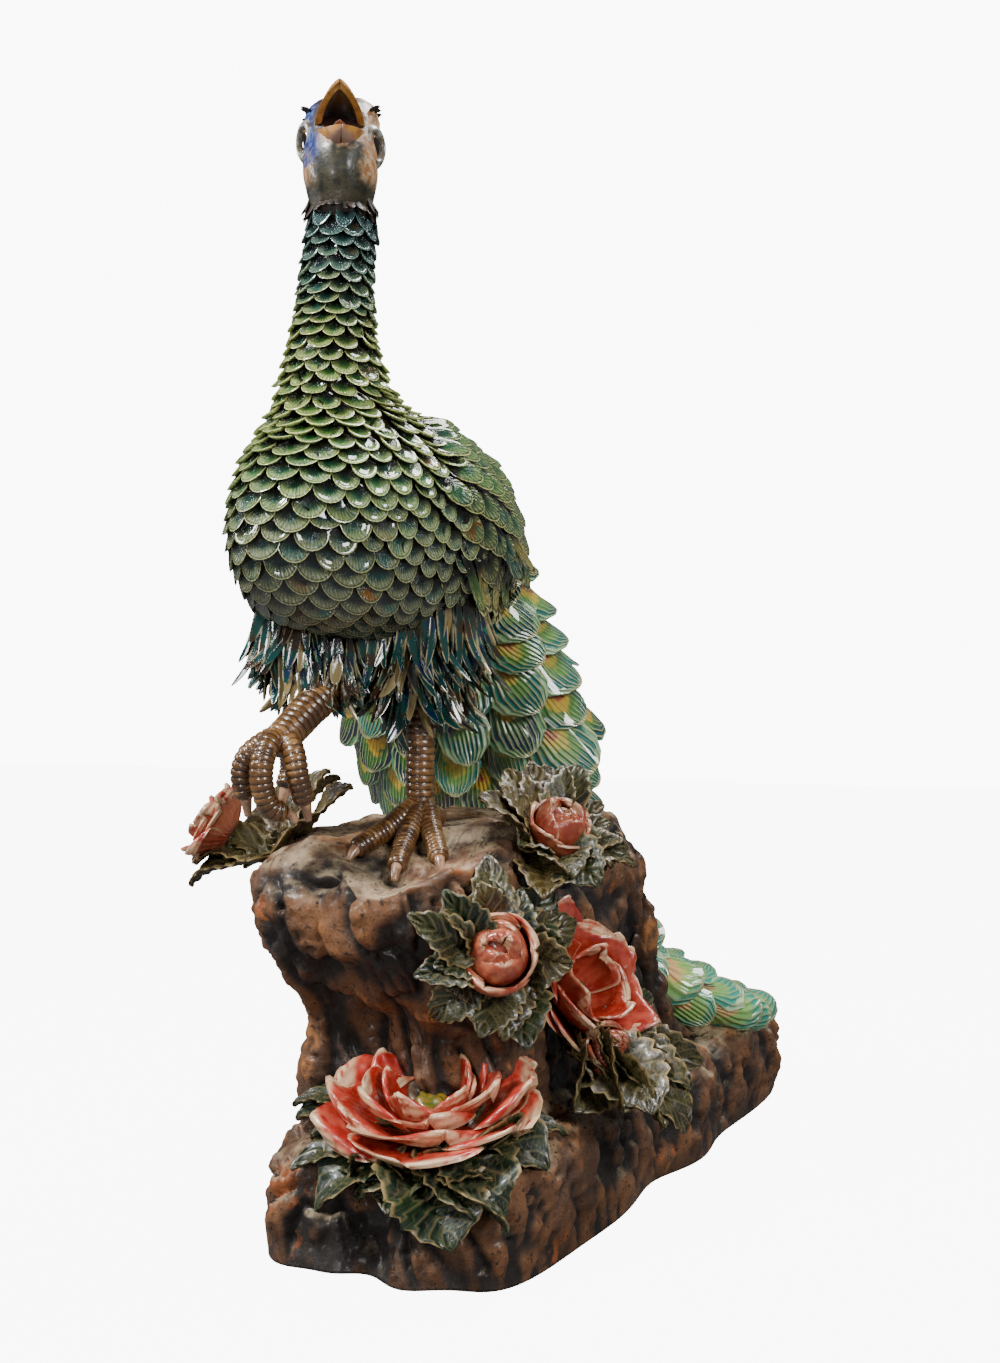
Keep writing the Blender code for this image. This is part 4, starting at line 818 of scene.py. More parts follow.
# Points in shares of the bird's height, from the ankle to the claw.
TOES = {
    "toe_standing_inner": [
        (0.000, 0.008, 0.036), (0.006, -0.028, 0.014), (0.014, -0.066, -0.012), (0.023, -0.098, -0.032),
        (0.031, -0.124, -0.046)],
    "toe_standing_outer": [
        (0.000, 0.008, 0.036), (-0.008, -0.030, 0.018), (-0.015, -0.066, 0.000), (-0.021, -0.100, -0.012),
        (-0.028, -0.134, -0.024)],
    "toe_standing_side": [
        (0.000, 0.008, 0.036), (0.020, -0.014, 0.016), (0.040, -0.038, -0.006), (0.058, -0.060, -0.022),
        (0.075, -0.082, -0.037)],
    "toe_standing_back": [
        (0.000, -0.010, 0.030), (-0.001, 0.015, 0.022), (-0.002, 0.035, 0.014), (-0.004, 0.066, 0.006)],
    "toe_raised_outer": [
        (-0.076, -0.250, 0.134), (-0.090, -0.266, 0.124), (-0.105, -0.278, 0.108), (-0.113, -0.280, 0.085),
        (-0.113, -0.271, 0.053)],
    "toe_raised_middle": [
        (-0.073, -0.252, 0.134), (-0.071, -0.282, 0.122), (-0.070, -0.297, 0.100), (-0.070, -0.297, 0.072),
        (-0.066, -0.284, 0.042), (-0.054, -0.266, 0.036)],
    "toe_raised_inner": [
        (-0.070, -0.246, 0.132), (-0.052, -0.258, 0.122), (-0.041, -0.264, 0.104), (-0.037, -0.262, 0.078),
        (-0.034, -0.250, 0.047)],
    "toe_raised_back": [
        (-0.073, -0.245, 0.128), (-0.079, -0.218, 0.115), (-0.089, -0.200, 0.089), (-0.092, -0.210, 0.062)],
}
# Radius at the ankle and the claw, then the length of a ring on toes and legs.
TOE_RADIUS, TOE_END, TOE_RING, LEG_RING = 0.0102, 0.0088, 0.0052, 0.0064
# Radius of a claw at its root and its tip, its length and how far the tip drops.
CLAW_RADIUS, CLAW_END, CLAW_LENGTH, CLAW_DROP = 0.0062, 0.0030, 0.014, 0.006


def across_frame(axis, toward):
    """Two unit directions square to an axis and to each other, the first one square to toward as well."""
    side = unit(np.cross(axis, toward))
    return side, np.cross(axis, side)


def ringed(points, radius, end_radius, pitch, sides=20):
    """A coil along a path: a circle square to the path whose radius swells once in each ring and tapers
    from radius to end_radius. The swell is one minus the fourth power of the place in the ring."""
    fine = smooth(points, np.linspace(0, len(points) - 1, 400))
    way = way_along(fine)
    at = np.linspace(0, way[-1], max(24, int(6 * way[-1] / pitch)))
    path = np.stack([np.interp(at, way, fine[:, k]) for k in range(3)], -1)
    side, other = across_frame(unit(np.gradient(path, axis=0)), (0.9, 0.3, 0.1))
    share = at / way[-1]
    in_ring = 2 * np.mod(at / pitch, 1) - 1
    r = (radius + (end_radius - radius) * share) * (0.90 + 0.14 * (1 - in_ring**4))
    r = (r * np.clip((1 - share) * 12 + 0.45, 0, 1) ** 0.5)[:, None, None]
    angle = np.linspace(0, 2 * np.pi, sides, endpoint=False)[:, None]
    grid = path[:, None] + r * (side[:, None] * np.cos(angle) + other[:, None] * np.sin(angle))
    return grid, np.broadcast_to(in_ring[:, None, None] ** 2, grid.shape[:2] + (1,))


glaze = Glaze("leg_glaze", colour(70, 44, 22), roughness=0.28, coat=0.6)
glaze.lay(colour(112, 76, 38), glaze.patches(0.03, 3.0, 0.35, 0.65))
glaze.lay(colour(134, 98, 58), glaze.patches(0.012, 4.0, 0.50, 0.66))
glaze.lay(colour(28, 17, 9), glaze.step(glaze.attribute("groove"), 0.35, 0.95))
glaze.finish(glaze.noise(0.002), 0.0004)
for name, (points, radius, widen) in LEGS.items():
    grid, groove = ringed(on_bird(*np.array(points).T), radius, radius * widen, LEG_RING, 28)
    skin(name, grid, glaze.material, "skin_glaze", crease=180, groove=groove)
claws = []
for name, points in TOES.items():
    path = on_bird(*np.array(points).T)
    grid, groove = ringed(path, TOE_RADIUS, TOE_END, TOE_RING)
    skin(name, grid, glaze.material, "skin_glaze", crease=180, groove=groove)
    ahead = unit(path[-1] - path[-2])
    bend = np.linspace(0, 1, 5)[:, None]
    nail = path[-1] + ahead * (CLAW_LENGTH * bend - 0.004) - CLAW_DROP * UP * bend**2
    # One ring as long as a metre leaves a claw smooth.
    claws.append(ringed(nail, CLAW_RADIUS, CLAW_END, 1.0, 14)[0])
claw_glaze = mottled("claw_glaze", colour(172, 132, 104), colour(120, 88, 66), 0.01)
skin("claws", np.stack(claws), claw_glaze, "skin_glaze", crease=180)

# Skirt. Narrow curled blades of clay hang in tiers from the belly and the thighs, glazed navy, teal, brown
# and cream. The thighs and the belly under them are plain clay, near black as painted shade under the
# blades.

# Roots: centre x and y, height, half-width and half-length of a ring in shares of the bird, then the number
# of blades, their length in metres and how far the tips flare.
SKIRT = [
    (-0.114, -0.124, 0.318, 0.058, 0.082, 48, 0.054, 0.08),
    (-0.111, -0.125, 0.298, 0.055, 0.078, 46, 0.052, 0.09),
    (-0.107, -0.128, 0.278, 0.050, 0.070, 42, 0.048, 0.10),
    (-0.100, -0.134, 0.258, 0.045, 0.060, 36, 0.043, 0.11),
    (-0.092, -0.142, 0.241, 0.040, 0.050, 30, 0.040, 0.13),
    (-0.082, -0.152, 0.226, 0.034, 0.042, 26, 0.036, 0.15),
    (-0.070, -0.128, 0.262, 0.036, 0.040, 26, 0.044, 0.10),
    (-0.066, -0.142, 0.240, 0.033, 0.036, 24, 0.038, 0.10),
    (-0.064, -0.152, 0.224, 0.030, 0.033, 20, 0.028, 0.12),
    (-0.002, 0.014, 0.322, 0.078, 0.098, 52, 0.056, 0.10),
    (-0.002, 0.016, 0.300, 0.076, 0.094, 52, 0.054, 0.12),
    (-0.004, 0.014, 0.277, 0.069, 0.084, 46, 0.050, 0.12),
    (-0.006, 0.010, 0.254, 0.060, 0.072, 42, 0.048, 0.14),
    (-0.006, 0.006, 0.230, 0.049, 0.058, 36, 0.045, 0.16),
    (-0.004, 0.003, 0.206, 0.037, 0.044, 28, 0.042, 0.18),
    (-0.062, 0.020, 0.296, 0.096, 0.140, 56, 0.054, 0.06),
    (-0.062, 0.020, 0.266, 0.084, 0.118, 48, 0.052, 0.06),
]
BLADE_HALF, BLADE_RINGS, BLADE_POINTS = 0.0048, 9, 5
# Centre, half-width and half-length in shares of the bird, from the top down.
THIGHS = {
    "thigh_standing": [
        (-0.002, 0.014, 0.340, 0.076, 0.094), (-0.003, 0.014, 0.280, 0.066, 0.080),
        (-0.005, 0.006, 0.215, 0.042, 0.050), (-0.002, 0.002, 0.175, 0.018, 0.020)],
    "thigh_raised": [
        (-0.120, -0.118, 0.335, 0.058, 0.078), (-0.114, -0.124, 0.280, 0.052, 0.068),
        (-0.100, -0.134, 0.230, 0.036, 0.044), (-0.080, -0.142, 0.200, 0.018, 0.020)],
    "belly": [
        (-0.062, 0.010, 0.330, 0.100, 0.150), (-0.061, 0.020, 0.290, 0.092, 0.132),
        (-0.060, 0.024, 0.250, 0.074, 0.100), (-0.060, 0.026, 0.230, 0.040, 0.060)],
}

roots, out, length, flare = [], [], [], []
for x0, y0, z0, a, b, number, blade_length, flaring in SKIRT:
    angle = 2 * np.pi * (np.arange(number) + chance.random(number) * 0.6) / number
    high = z0 + 0.008 * chance.normal(0, 1, number)
    roots.append(on_bird(x0 + a * np.sin(angle), y0 - b * np.cos(angle), high))
    out.append(unit(np.stack([np.sin(angle) / a, -np.cos(angle) / b, 0 * angle], -1)))
    length.append(blade_length * chance.uniform(0.75, 1.2, number))
    flare.append(flaring * chance.uniform(0.0, 2.2, number))
roots, out = (np.concatenate(kind)[:, None] for kind in (roots, out))
length, flare = (np.concatenate(kind)[:, None, None] for kind in (length, flare))
count = len(roots)
s = 1 - (1 - np.linspace(0, 1, BLADE_RINGS)[:, None]) ** 1.5
sway = 0.30 * cloud(roots, 0.022, 31)[..., None] + chance.normal(0, 0.14, (count, 1, 1))
path = roots + length * (
    s * [0, 0, -1] + flare * (1.2 * s**2 + 0.6 * s**5) * out
    + sway * (1.3 * s**2 - 0.3 * s) * np.cross(out, UP)
)
x, over = loop(BLADE_POINTS)
half = BLADE_HALF * np.sqrt(np.clip(s * 3, 0.35, 1)) * np.sqrt(1.03 - s**5)
half = half * chance.uniform(0.75, 1.25, (count, 1, 1))
twist = chance.normal(0, 0.34, (count, 1, 1)) * (0.3 + 1.4 * s)
wide, high = half * x, half * (0.42 * over * (1 - 0.4 * (np.abs(x) < 0.1)) + 0.45 * np.abs(x) ** 2)
c, turned = np.cos(twist), np.sin(twist)
blades = flat_form(path, out, wide * c - high * turned, wide * turned + high * c)
glaze = Glaze("skirt_glaze", colour(50, 36, 22), roughness=0.15, coat=0.8, coat_roughness=0.04)
across, down, chosen = glaze.parts(glaze.attribute("place", "Vector"))
drift = glaze.maths("MULTIPLY_ADD", chosen, 0.16, glaze.noise(0.030, 2.0))
glaze.lay(colour(8, 54, 50), glaze.step(drift, 0.46, 0.54))
glaze.lay(colour(14, 34, 60), glaze.step(drift, 0.60, 0.66))
glaze.lay(colour(22, 92, 70), glaze.step(drift, 0.70, 0.76))
glaze.lay(colour(128, 112, 74), glaze.step(chosen, 0.84, 0.92))
worn = glaze.patches(0.015, 3.0, 0.42, 0.58)
glaze.lay(colour(168, 156, 118), glaze.step(glaze.maths("ABSOLUTE", across), 0.6, 1.0), worn)
# Painted shade at the roots of the blades, under the belly and the tier above.
glaze.lay(colour(20, 14, 10), glaze.step(down, 0.45, 0.05))
glaze.finish(glaze.noise(0.002), 0.0002)
place = stacked(x, s, chance.random(count)[:, None, None])
skin("skirt", blades, glaze.material, "feather_glaze", crease=70, place=place)
t, turn = round_grid(3, 20, 40)
for name, rows in THIGHS.items():
    skin(name, on_tube(bird_tube(rows), t, turn), painted_shade_clay, "feather_glaze", crease=180)

# Train. Long feathers fall from the rump behind the rock and fan out over the slab, each a ribbed shell
# with an upturned tip: red at the root, then yellow, green and a navy rim, with painted shade where the
# root lies under the feather above.

# Centre, half-width and half-thickness in metres, from the rump to the end of the slab.
TRAIN = [
    (-0.0616, -0.0985, 0.6248, 0.0446, 0.0297),
    (-0.0678, -0.0756, 0.5826, 0.0635, 0.0405),
    (-0.0765, -0.0520, 0.5318, 0.0864, 0.0513),
    (-0.0902, -0.0309, 0.4760, 0.1202, 0.0594),
    (-0.0914, -0.0061, 0.4152, 0.1256, 0.0567),
    (-0.0878, 0.0228, 0.3499, 0.1121, 0.0486),
    (-0.0729, 0.0532, 0.2801, 0.1013, 0.0405),
    (-0.0513, 0.0912, 0.2160, 0.1013, 0.0351),
    (-0.0216, 0.1452, 0.1584, 0.1121, 0.0297),
    (0.0027, 0.2052, 0.1242, 0.1229, 0.0243),
    (0.0108, 0.2751, 0.1062, 0.1256, 0.0203),
    (0.0119, 0.3450, 0.0972, 0.1134, 0.0149),
]
# Way down the train in metres: pitch of the rows, width of a feather, how far its tip stands off, half its
# length.
TRAIN_ROWS = [
    (0.00, 0.030, 0.040, 0.014, 0.036),
    (0.15, 0.035, 0.045, 0.021, 0.042),
    (0.45, 0.036, 0.046, 0.019, 0.044),
    (0.75, 0.034, 0.042, 0.010, 0.042),
]
FEATHER_THICK, FEATHER_BOWL = 0.0013, 0.0050

rows = np.array(TRAIN)
fall = unit(np.gradient(rows[:, :3], axis=0) * [0, 1, 1])
train_line = np.zeros((len(TRAIN), 9))
train_line[:, 0:4] = rows[:, :4]
train_line[:, 7] = -fall[:, 2] * rows[:, 4]
train_line[:, 8] = fall[:, 1] * rows[:, 4]
t, turn = round_grid(11, 80, 64)
core = lifted(train_line, t, turn, -0.002 - 0.007 * np.clip((t - 6) / 2, 0, 1))
# The core under the feathers is the near-black clay of painted shade in the gaps.
skin("train_core", core, painted_shade_clay, "train_glaze", crease=180)

places = places_on(train_line, 0.2, 10.9, TRAIN_ROWS)
t, turn, way = places[(places[:, 0] < 4.6) | (np.abs(places[:, 1]) < 0.34)].T
count = len(t)
width, stand, half_length = (column[:, None, None] for column in columns_at(TRAIN_ROWS, way, 2, 3, 4))
# Feathers at the bird's right edge lie closer, as the figurine is no wider there.
stand = stand * (1 - 0.60 * np.clip(-1.3 * np.sin(2 * np.pi * turn), 0, 1))[:, None, None]
jitter = chance.normal(0, 1, (count, 4))[:, :, None, None]
across, over = loop(9)
s = np.array([0.0, 0.25, 0.5, 0.72, 0.88, 0.97, 1.0])[:, None]
outline = np.clip(1 - np.abs(1.70 * s - 0.70) ** 3.6, 0.05, 1) ** (1 / 2.2)
outline = outline * (0.50 + 0.50 * np.clip(s * 1.5, 0, 1))
x = across * outline * 0.67 * width * (1 + 0.08 * jitter[:, 0])
y = (2 * s - 1) * half_length * (1 + 0.07 * jitter[:, 1]) - 0.002 * across**2 * s
curl = stand * (s**1.5 * (1 + 0.22 * jitter[:, 2]) + 0.35 * s**6) - 0.004 * (1 - s)
bowl = FEATHER_BOWL * across**2 * np.sin(np.pi * np.clip(s, 0, 0.93))
height = curl + over * FEATHER_THICK * np.clip(1.2 - s, 0.35, 1) - bowl
fan_out = 0.55 * np.sin(2 * np.pi * turn) * np.clip(1.3 - t / 9, 0, 1) + 0.12 * jitter[:, 3, 0, 0]
feathers = on_skin(train_line, t, turn, -fan_out, x, y, height)
glaze = Glaze("train_glaze", None, roughness=0.2, coat=0.8, coat_roughness=0.04)
across_of, down, chosen = glaze.parts(glaze.attribute("place", "Vector"))
past = glaze.times(glaze.maths("SUBTRACT", down, 0.47), 1.6)
eye = glaze.long(past, glaze.times(across_of, 0.95))
eye = glaze.maths("ADD", eye, glaze.centred(glaze.noise(0.012), 0.5))
eye = glaze.maths("ADD", eye, glaze.centred(chosen, 0.30))


def eye_rings(first, *rings):
    """Rings of colour round a feather's eye: each takes over from one reach to another."""
    tone = first
    for low, high, tint in rings:
        tone = glaze.mix(glaze.step(eye, low, high), tone, colour(*tint))
    return tone


rich = eye_rings(
    colour(150, 34, 18), (0.18, 0.26, (196, 158, 36)), (0.38, 0.50, (40, 92, 34)), (0.58, 0.74, (6, 34, 50)),
    (0.92, 1.06, (70, 118, 78)))
light = eye_rings(
    colour(214, 176, 118), (0.20, 0.40, (128, 178, 96)), (0.52, 0.80, (52, 146, 126)),
    (0.90, 1.06, (176, 206, 160)))
glaze.tone = glaze.mix(glaze.attribute("pale"), rich, light)
fan = glaze.maths("ARCTAN2", across_of, glaze.maths("ADD", down, 0.35))
ribs = glaze.maths("SINE", glaze.times(fan, 44.0))
glaze.lay(colour(186, 184, 128), glaze.step(ribs, 0.35, 0.95), glaze.step(eye, 0.30, 0.75), 0.55)
glaze.lay(colour(172, 172, 122), glaze.step(down, 0.955, 0.99))
# Painted shade at the root, under the feather above.
glaze.lay(colour(26, 18, 10), glaze.step(down, 0.30, 0.10))
glaze.finish(ribs, 0.0007)
place = stacked(across, s, chance.random(count)[:, None, None])
# Feathers grow paler down the slab, and paler towards the bird's left as painted reflection of the bright
# backdrop.
pale = np.maximum((t - 6.0) / 2, 0.30 * np.clip(6 * (turn - 0.10), 0, 1)) + chance.normal(0, 0.18, count)
pale = each(np.clip(pale, 0, 1))
skin("train_feathers", feathers, glaze.material, "train_glaze", crease=60, place=place, pale=pale)

# Leaves. Rolled slips of clay, notched along the edge and scored with veins, set in rosettes round each
# flower and glazed olive and brown-green with bare cream edges.

ROCK_SIZE = np.array([0.270, 0.760, 0.360])
# Root and facing of each cluster, then each leaf's tip and half its width in metres. Places are shares of
# the rock.
LEAVES = {
    "upper": ((0.300, -0.250, 0.880), (0.45, -0.55, 0.70), [
        (0.159, -0.318, 1.053, 0.022), (0.141, -0.234, 1.106, 0.020), (0.226, -0.175, 1.119, 0.020),
        (0.333, -0.171, 1.106, 0.018), (0.433, -0.183, 1.019, 0.017), (0.556, -0.221, 0.936, 0.016),
        (0.578, -0.203, 0.889, 0.020), (0.541, -0.282, 0.850, 0.022), (0.415, -0.333, 0.831, 0.022)]),
    "middle": ((0.255, -0.340, 0.680), (0.60, -0.80, 0.20), [
        (0.152, -0.408, 0.819, 0.016), (0.204, -0.370, 0.867, 0.017), (0.296, -0.383, 0.878, 0.019),
        (0.226, -0.292, 0.933, 0.020), (0.389, -0.293, 0.836, 0.020), (0.463, -0.282, 0.756, 0.018),
        (0.522, -0.343, 0.675, 0.020), (0.426, -0.389, 0.489, 0.024), (0.330, -0.436, 0.531, 0.024),
        (0.181, -0.432, 0.683, 0.016), (0.185, -0.417, 0.575, 0.017)]),
    "side": ((0.370, -0.215, 0.430), (0.90, -0.35, 0.30), [
        (0.507, -0.317, 0.322, 0.030), (0.563, -0.278, 0.372, 0.026), (0.660, -0.310, 0.330, 0.028),
        (0.741, -0.276, 0.280, 0.032), (0.790, -0.224, 0.250, 0.032), (0.770, -0.183, 0.331, 0.024),
        (0.737, -0.130, 0.372, 0.020), (0.404, -0.071, 0.606, 0.022), (0.520, -0.060, 0.400, 0.022)]),
    "left": ((-0.470, -0.368, 0.880), (-0.55, -0.35, 0.75), [
        (-0.767, -0.436, 0.850, 0.022), (-0.800, -0.400, 0.890, 0.024), (-0.215, -0.383, 1.086, 0.024),
        (-0.493, -0.255, 1.094, 0.020), (-0.600, -0.268, 1.090, 0.020), (-0.720, -0.290, 1.000, 0.022)]),
    "step": ((0.148, -0.410, 0.245), (0.12, -0.30, 1.0), [
        (-0.300, -0.430, 0.350, 0.022), (-0.290, -0.451, 0.300, 0.022), (-0.200, -0.505, 0.250, 0.026),
        (-0.075, -0.533, 0.182, 0.034), (0.170, -0.534, 0.170, 0.034), (0.370, -0.526, 0.120, 0.032),
        (0.484, -0.478, 0.168, 0.028), (0.510, -0.401, 0.238, 0.030), (0.504, -0.347, 0.300, 0.022)]),
}
# Rings and points of a leaf, its thickness in metres and its number of teeth.
LEAF_RINGS, LEAF_POINTS, LEAF_THICK, LEAF_TEETH = 37, 15, 0.0030, 8
# Heights in metres of the ribs and depth of the groove along the midrib.
LEAF_RIB, LEAF_GROOVE = 0.0024, 0.0016
# How green each cluster is, from brown to bottle green.
GREEN = {"upper": 0.44, "middle": 0.56, "side": 0.60, "left": 0.34, "step": 0.84}


def sheet(surface, thick):
    """A closed slip of clay round a middle surface of (copies, rings, points): each ring runs out and back,
    raised by half the thickness along the normal on the way out and lowered by it on the way back."""
    points = surface.shape[2]
    take = np.concatenate([np.arange(points), np.arange(points - 2, 0, -1)])
    over = np.concatenate([[0], np.ones(points - 2), [0], -np.ones(points - 2)])
    normal = unit(np.cross(np.gradient(surface, axis=1), np.gradient(surface, axis=2)))
    return surface[:, :, take] + over[:, None] * thick / 2 * normal[:, :, take], take, over


def off_rock(points, clear):
    """Points moved out from the rock's axis until they clear its outline: the outline is where the squared
    oval's (|x|^n + |y|^n)^(1/n), with x and y over their reaches at that height, is one."""
    t = np.interp(points[..., 2], np.array(ROCK)[:, 0], np.arange(len(ROCK)))
    _, left, right, front, back, square = np.moveaxis(smooth(ROCK, t), -1, 0)
    x = np.abs(points[..., 0]) / np.where(points[..., 0] > 0, right, left)
    y = np.abs(points[..., 1]) / np.where(points[..., 1] > 0, back, front)
    share = (x**square + y**square) ** (1 / square)
    push = np.where(points[..., 2] < 0.350, np.maximum(1, clear / np.maximum(share, 0.5)), 1)
    return points * stacked(push, push, 1)


def leaf_forms(root, face, tips, half_widths):
    """Leaves from one root: the path bows up by a parabola and droops by a cube. The half-width is a sine of
    a power of the way s, cut by a saw wave. The blade folds up along its midrib and rolls by a sine, with
    ribs that fan to the teeth as the square of a sine of s and |x|."""
    s = np.linspace(0, 1, LEAF_RINGS)[:, None]
    x = np.linspace(-1, 1, LEAF_POINTS)
    run = (tips - root)[:, None]
    length = np.linalg.norm(run, axis=-1, keepdims=True)
    count = len(tips)
    bow, drop = chance.uniform(0.04, 0.20, (count, 1, 1)), chance.uniform(-0.06, 0.12, (count, 1, 1))
    path = root + run * s + (bow * 4 * s * (1 - s) - drop * s**3) * length * face
    path = path + (off_rock(path, 1.05) - path) * np.clip(4 * s - 0.4, 0, 1)
    lean = chance.normal(0, 0.30, (count, 3))
    facing = (face + lean - (lean * face).sum(-1, keepdims=True) * face)[:, None]
    lens = np.sin(np.pi * s**0.95) ** 0.78 * (0.45 + 0.55 * np.clip(s * 2.2, 0, 1)) + 0.12 * (1 - s)
    teeth = np.where(s > 0.22, 0.84 + 0.22 * np.mod(s * LEAF_TEETH - 1.9, 1), 0.92)
    lens = np.maximum(lens * teeth, 0.03)
    wide = half_widths[:, None, None] * 1.20 * lens * (1 + 0.06 * chance.normal(0, 1, (count, 1, 1)))
    vein = np.mod(s * LEAF_TEETH - 1.9 * np.abs(x), 1)
    ridge = LEAF_RIB * np.sin(np.pi * vein) ** 2 * np.clip(5 * lens, 0, 1)
    ridge = ridge - LEAF_GROOVE * np.exp(-((x / 0.12) ** 2))
    roll = 0.16 * wide * np.sin(2 * np.pi * (1.4 * s + chance.random((count, 1, 1)))) * x
    height = chance.uniform(0.15, 0.55, (count, 1, 1)) * np.abs(x) ** 1.3 * wide + roll + ridge
    grid, take, _ = sheet(flat_form(path, facing, wide * x, height), LEAF_THICK)
    place = stacked(x[take], s, chance.random((count, 1, 1)))
    return grid, place, np.broadcast_to(vein[:, take], (count, LEAF_RINGS, len(take)))


glaze = Glaze("leaf_glaze", None, roughness=0.40, coat=0.15, coat_roughness=0.12)
across, down, green = glaze.parts(glaze.attribute("place", "Vector"))
patches = glaze.patches(0.018, 4.0, 0.40, 0.60)
brown = glaze.mix(patches, colour(46, 33, 16), colour(76, 64, 30))
bottle = glaze.mix(patches, colour(4, 26, 18), colour(24, 44, 22))
glaze.tone = glaze.mix(glaze.step(green, 0.30, 0.72), brown, bottle)
crest = glaze.maths("ABSOLUTE", glaze.maths("SUBTRACT", glaze.attribute("vein"), 0.5))
# Painted shade in the grooves between the ribs and a painted highlight on their crests.
glaze.lay(colour(22, 18, 9), glaze.step(crest, 0.32, 0.48))
glaze.lay(colour(136, 120, 78), glaze.step(crest, 0.14, 0.02), 0.28)
worn = glaze.patches(0.010, 3.0, 0.34, 0.52)
glaze.lay(colour(136, 116, 76), glaze.step(glaze.maths("ABSOLUTE", across), 0.88, 0.99), worn)
up = glaze.parts(glaze.add("ShaderNodeNewGeometry", {}, "Normal"))[2]
glaze.lay(colour(160, 142, 110), glaze.step(up, 0.55, 0.95), glaze.patches(0.008, 5.0, 0.42, 0.62), 0.16)
glaze.finish(glaze.noise(0.002, 4.0), 0.0003)
for name, (root, facing, tips) in LEAVES.items():
    face = unit(np.array(facing))
    root = np.array(root) * ROCK_SIZE
    half_widths, tips = np.array(tips)[:, 3], np.array(tips)[:, :3] * ROCK_SIZE
    # Shorter leaves fill the gaps between neighbours.
    between = (tips + np.roll(tips, 1, 0)) / 2
    near = np.linalg.norm(tips - np.roll(tips, 1, 0), axis=1) < 0.14
    short = root + (between - root) * chance.uniform(0.70, 0.98, (len(tips), 1)) + 0.010 * face
    tips = np.concatenate([tips, short[near]])
    half_widths = np.concatenate([half_widths, 0.9 * half_widths[near]])
    grid, place, vein = leaf_forms(root, face, tips, half_widths)
    place = place * [1, 1, 0.4] + [0, 0, GREEN[name] - 0.2]
    tints = {"place": place, "vein": vein[..., None]}
    skin(f"leaves_{name}", grid, glaze.material, "leaf_glaze", crease=60, **tints)

# Peonies and buds. Each petal is a thin pinched disc of clay, set in whorls round a knob, coral red inside
# with a cream rim. A bud's petals close over a large heart.

# Each whorl: petals, reach and rise in radii, how far each petal runs up its bowl and half its spread, in
# degrees.
OPEN = [(6, 1.02, 0.42, 68, 44), (6, 0.84, 0.56, 76, 44), (5, 0.62, 0.62, 88, 52), (4, 0.40, 0.58, 104, 64)]
SIDE = [(5, 1.00, 0.60, 80, 50), (4, 0.78, 0.80, 88, 58), (3, 0.48, 0.86, 108, 74)]
CLOSED = [(3, 1.00, 1.50, 124, 76), (3, 0.80, 1.72, 146, 84), (2, 0.62, 1.74, 164, 108)]
# Centre in metres, axis, radius, whorls and how brown its petals are.
FLOWERS = {
    "peony_step": ((0.0385, -0.320, 0.112), (0.10, -0.34, 1.0), 0.080, OPEN, 0.0),
    "peony_side": ((0.092, -0.162, 0.194), (0.80, -0.22, 0.40), 0.064, SIDE, 0.25),
    "peony_left": ((-0.178, -0.298, 0.343), (-0.75, -0.35, 0.50), 0.036, SIDE, 0.2),
    "bud_upper": ((0.086, -0.182, 0.330), (0.50, -0.40, 0.80), 0.028, CLOSED, 0.8),
    "bud_middle": ((0.082, -0.294, 0.247), (0.55, -0.80, 0.36), 0.031, CLOSED, 0.7),
    "bud_side": ((0.128, -0.178, 0.146), (0.75, -0.55, 0.50), 0.023, CLOSED, 0.8),
}
PETAL_THICK, PETAL_RINGS, PETAL_POINTS = 0.0028, 19, 17
# The knob's radius and how far its middle stands up the axis, in radii of the flower, in a flower and a bud.
BOSS, HEART = (0.20, 0.16), (0.55, 1.00)


def petal_forms(centre, axis, radius, whorls):
    """Petals as parts of bowls round an axis: along each, r is reach * sin and z is rise * (1 - cos) of the
    angle run. The spread follows (1 - |2s - 1|^n)^(1/2) with the way s. One edge lies inside its neighbour,
    the rim rolls out by a power of s and a sine across it makes it wavy."""
    side, other = across_frame(axis, (0.2, 1.0, 0.1))
    s, x = (1 - np.cos(np.pi * np.linspace(0, 1, PETAL_RINGS)[:, None])) / 2, np.linspace(-1, 1, PETAL_POINTS)
    oval = np.sqrt(np.clip(1 - np.abs(2 * s - 1) ** np.where(s > 0.5, 8.0, 2.2), 0.015, 1))
    grids, places = [], []
    for number, (petals, reach, rise, run, spread) in enumerate(whorls):
        full = np.radians(run)
        first = 2 * np.pi * (np.arange(petals) + 0.37 * number + 0.07 * chance.normal(0, 1, petals)) / petals
        size = radius * (1 + 0.05 * chance.normal(0, 1, (petals, 1, 1)))
        along = full * (0.06 + 0.94 * s) * (1 + 0.04 * chance.normal(0, 1, (petals, 1, 1)))
        angle = first[:, None, None] + np.radians(spread) * x * oval
        waves, phase = chance.uniform(0.45, 0.75, (petals, 1, 1)), chance.random((petals, 1, 1))
        wave = np.sin(2 * np.pi * (waves * x + phase)) * s**3
        r = np.sin(along) / np.sin(min(full, np.pi / 2)) + 0.12 * s**7 + 0.07 * x * s + 0.09 * wave
        z = rise * (1 - np.cos(along)) / (1 - np.cos(full))
        z = z * (1 - 0.14 * x**2 * s**2) + 0.12 * wave - 0.09 * s**9
        outward = side * np.cos(angle)[..., None] + other * np.sin(angle)[..., None]
        surface = centre + size[..., None] * (outward * (reach * r)[..., None] + axis * z[..., None])
        grid, take, over = sheet(surface, PETAL_THICK)
        grids.append(grid)
        places.append(np.broadcast_to(stacked(x[take], s, over), grid.shape))
    return np.concatenate(grids), np.concatenate(places)


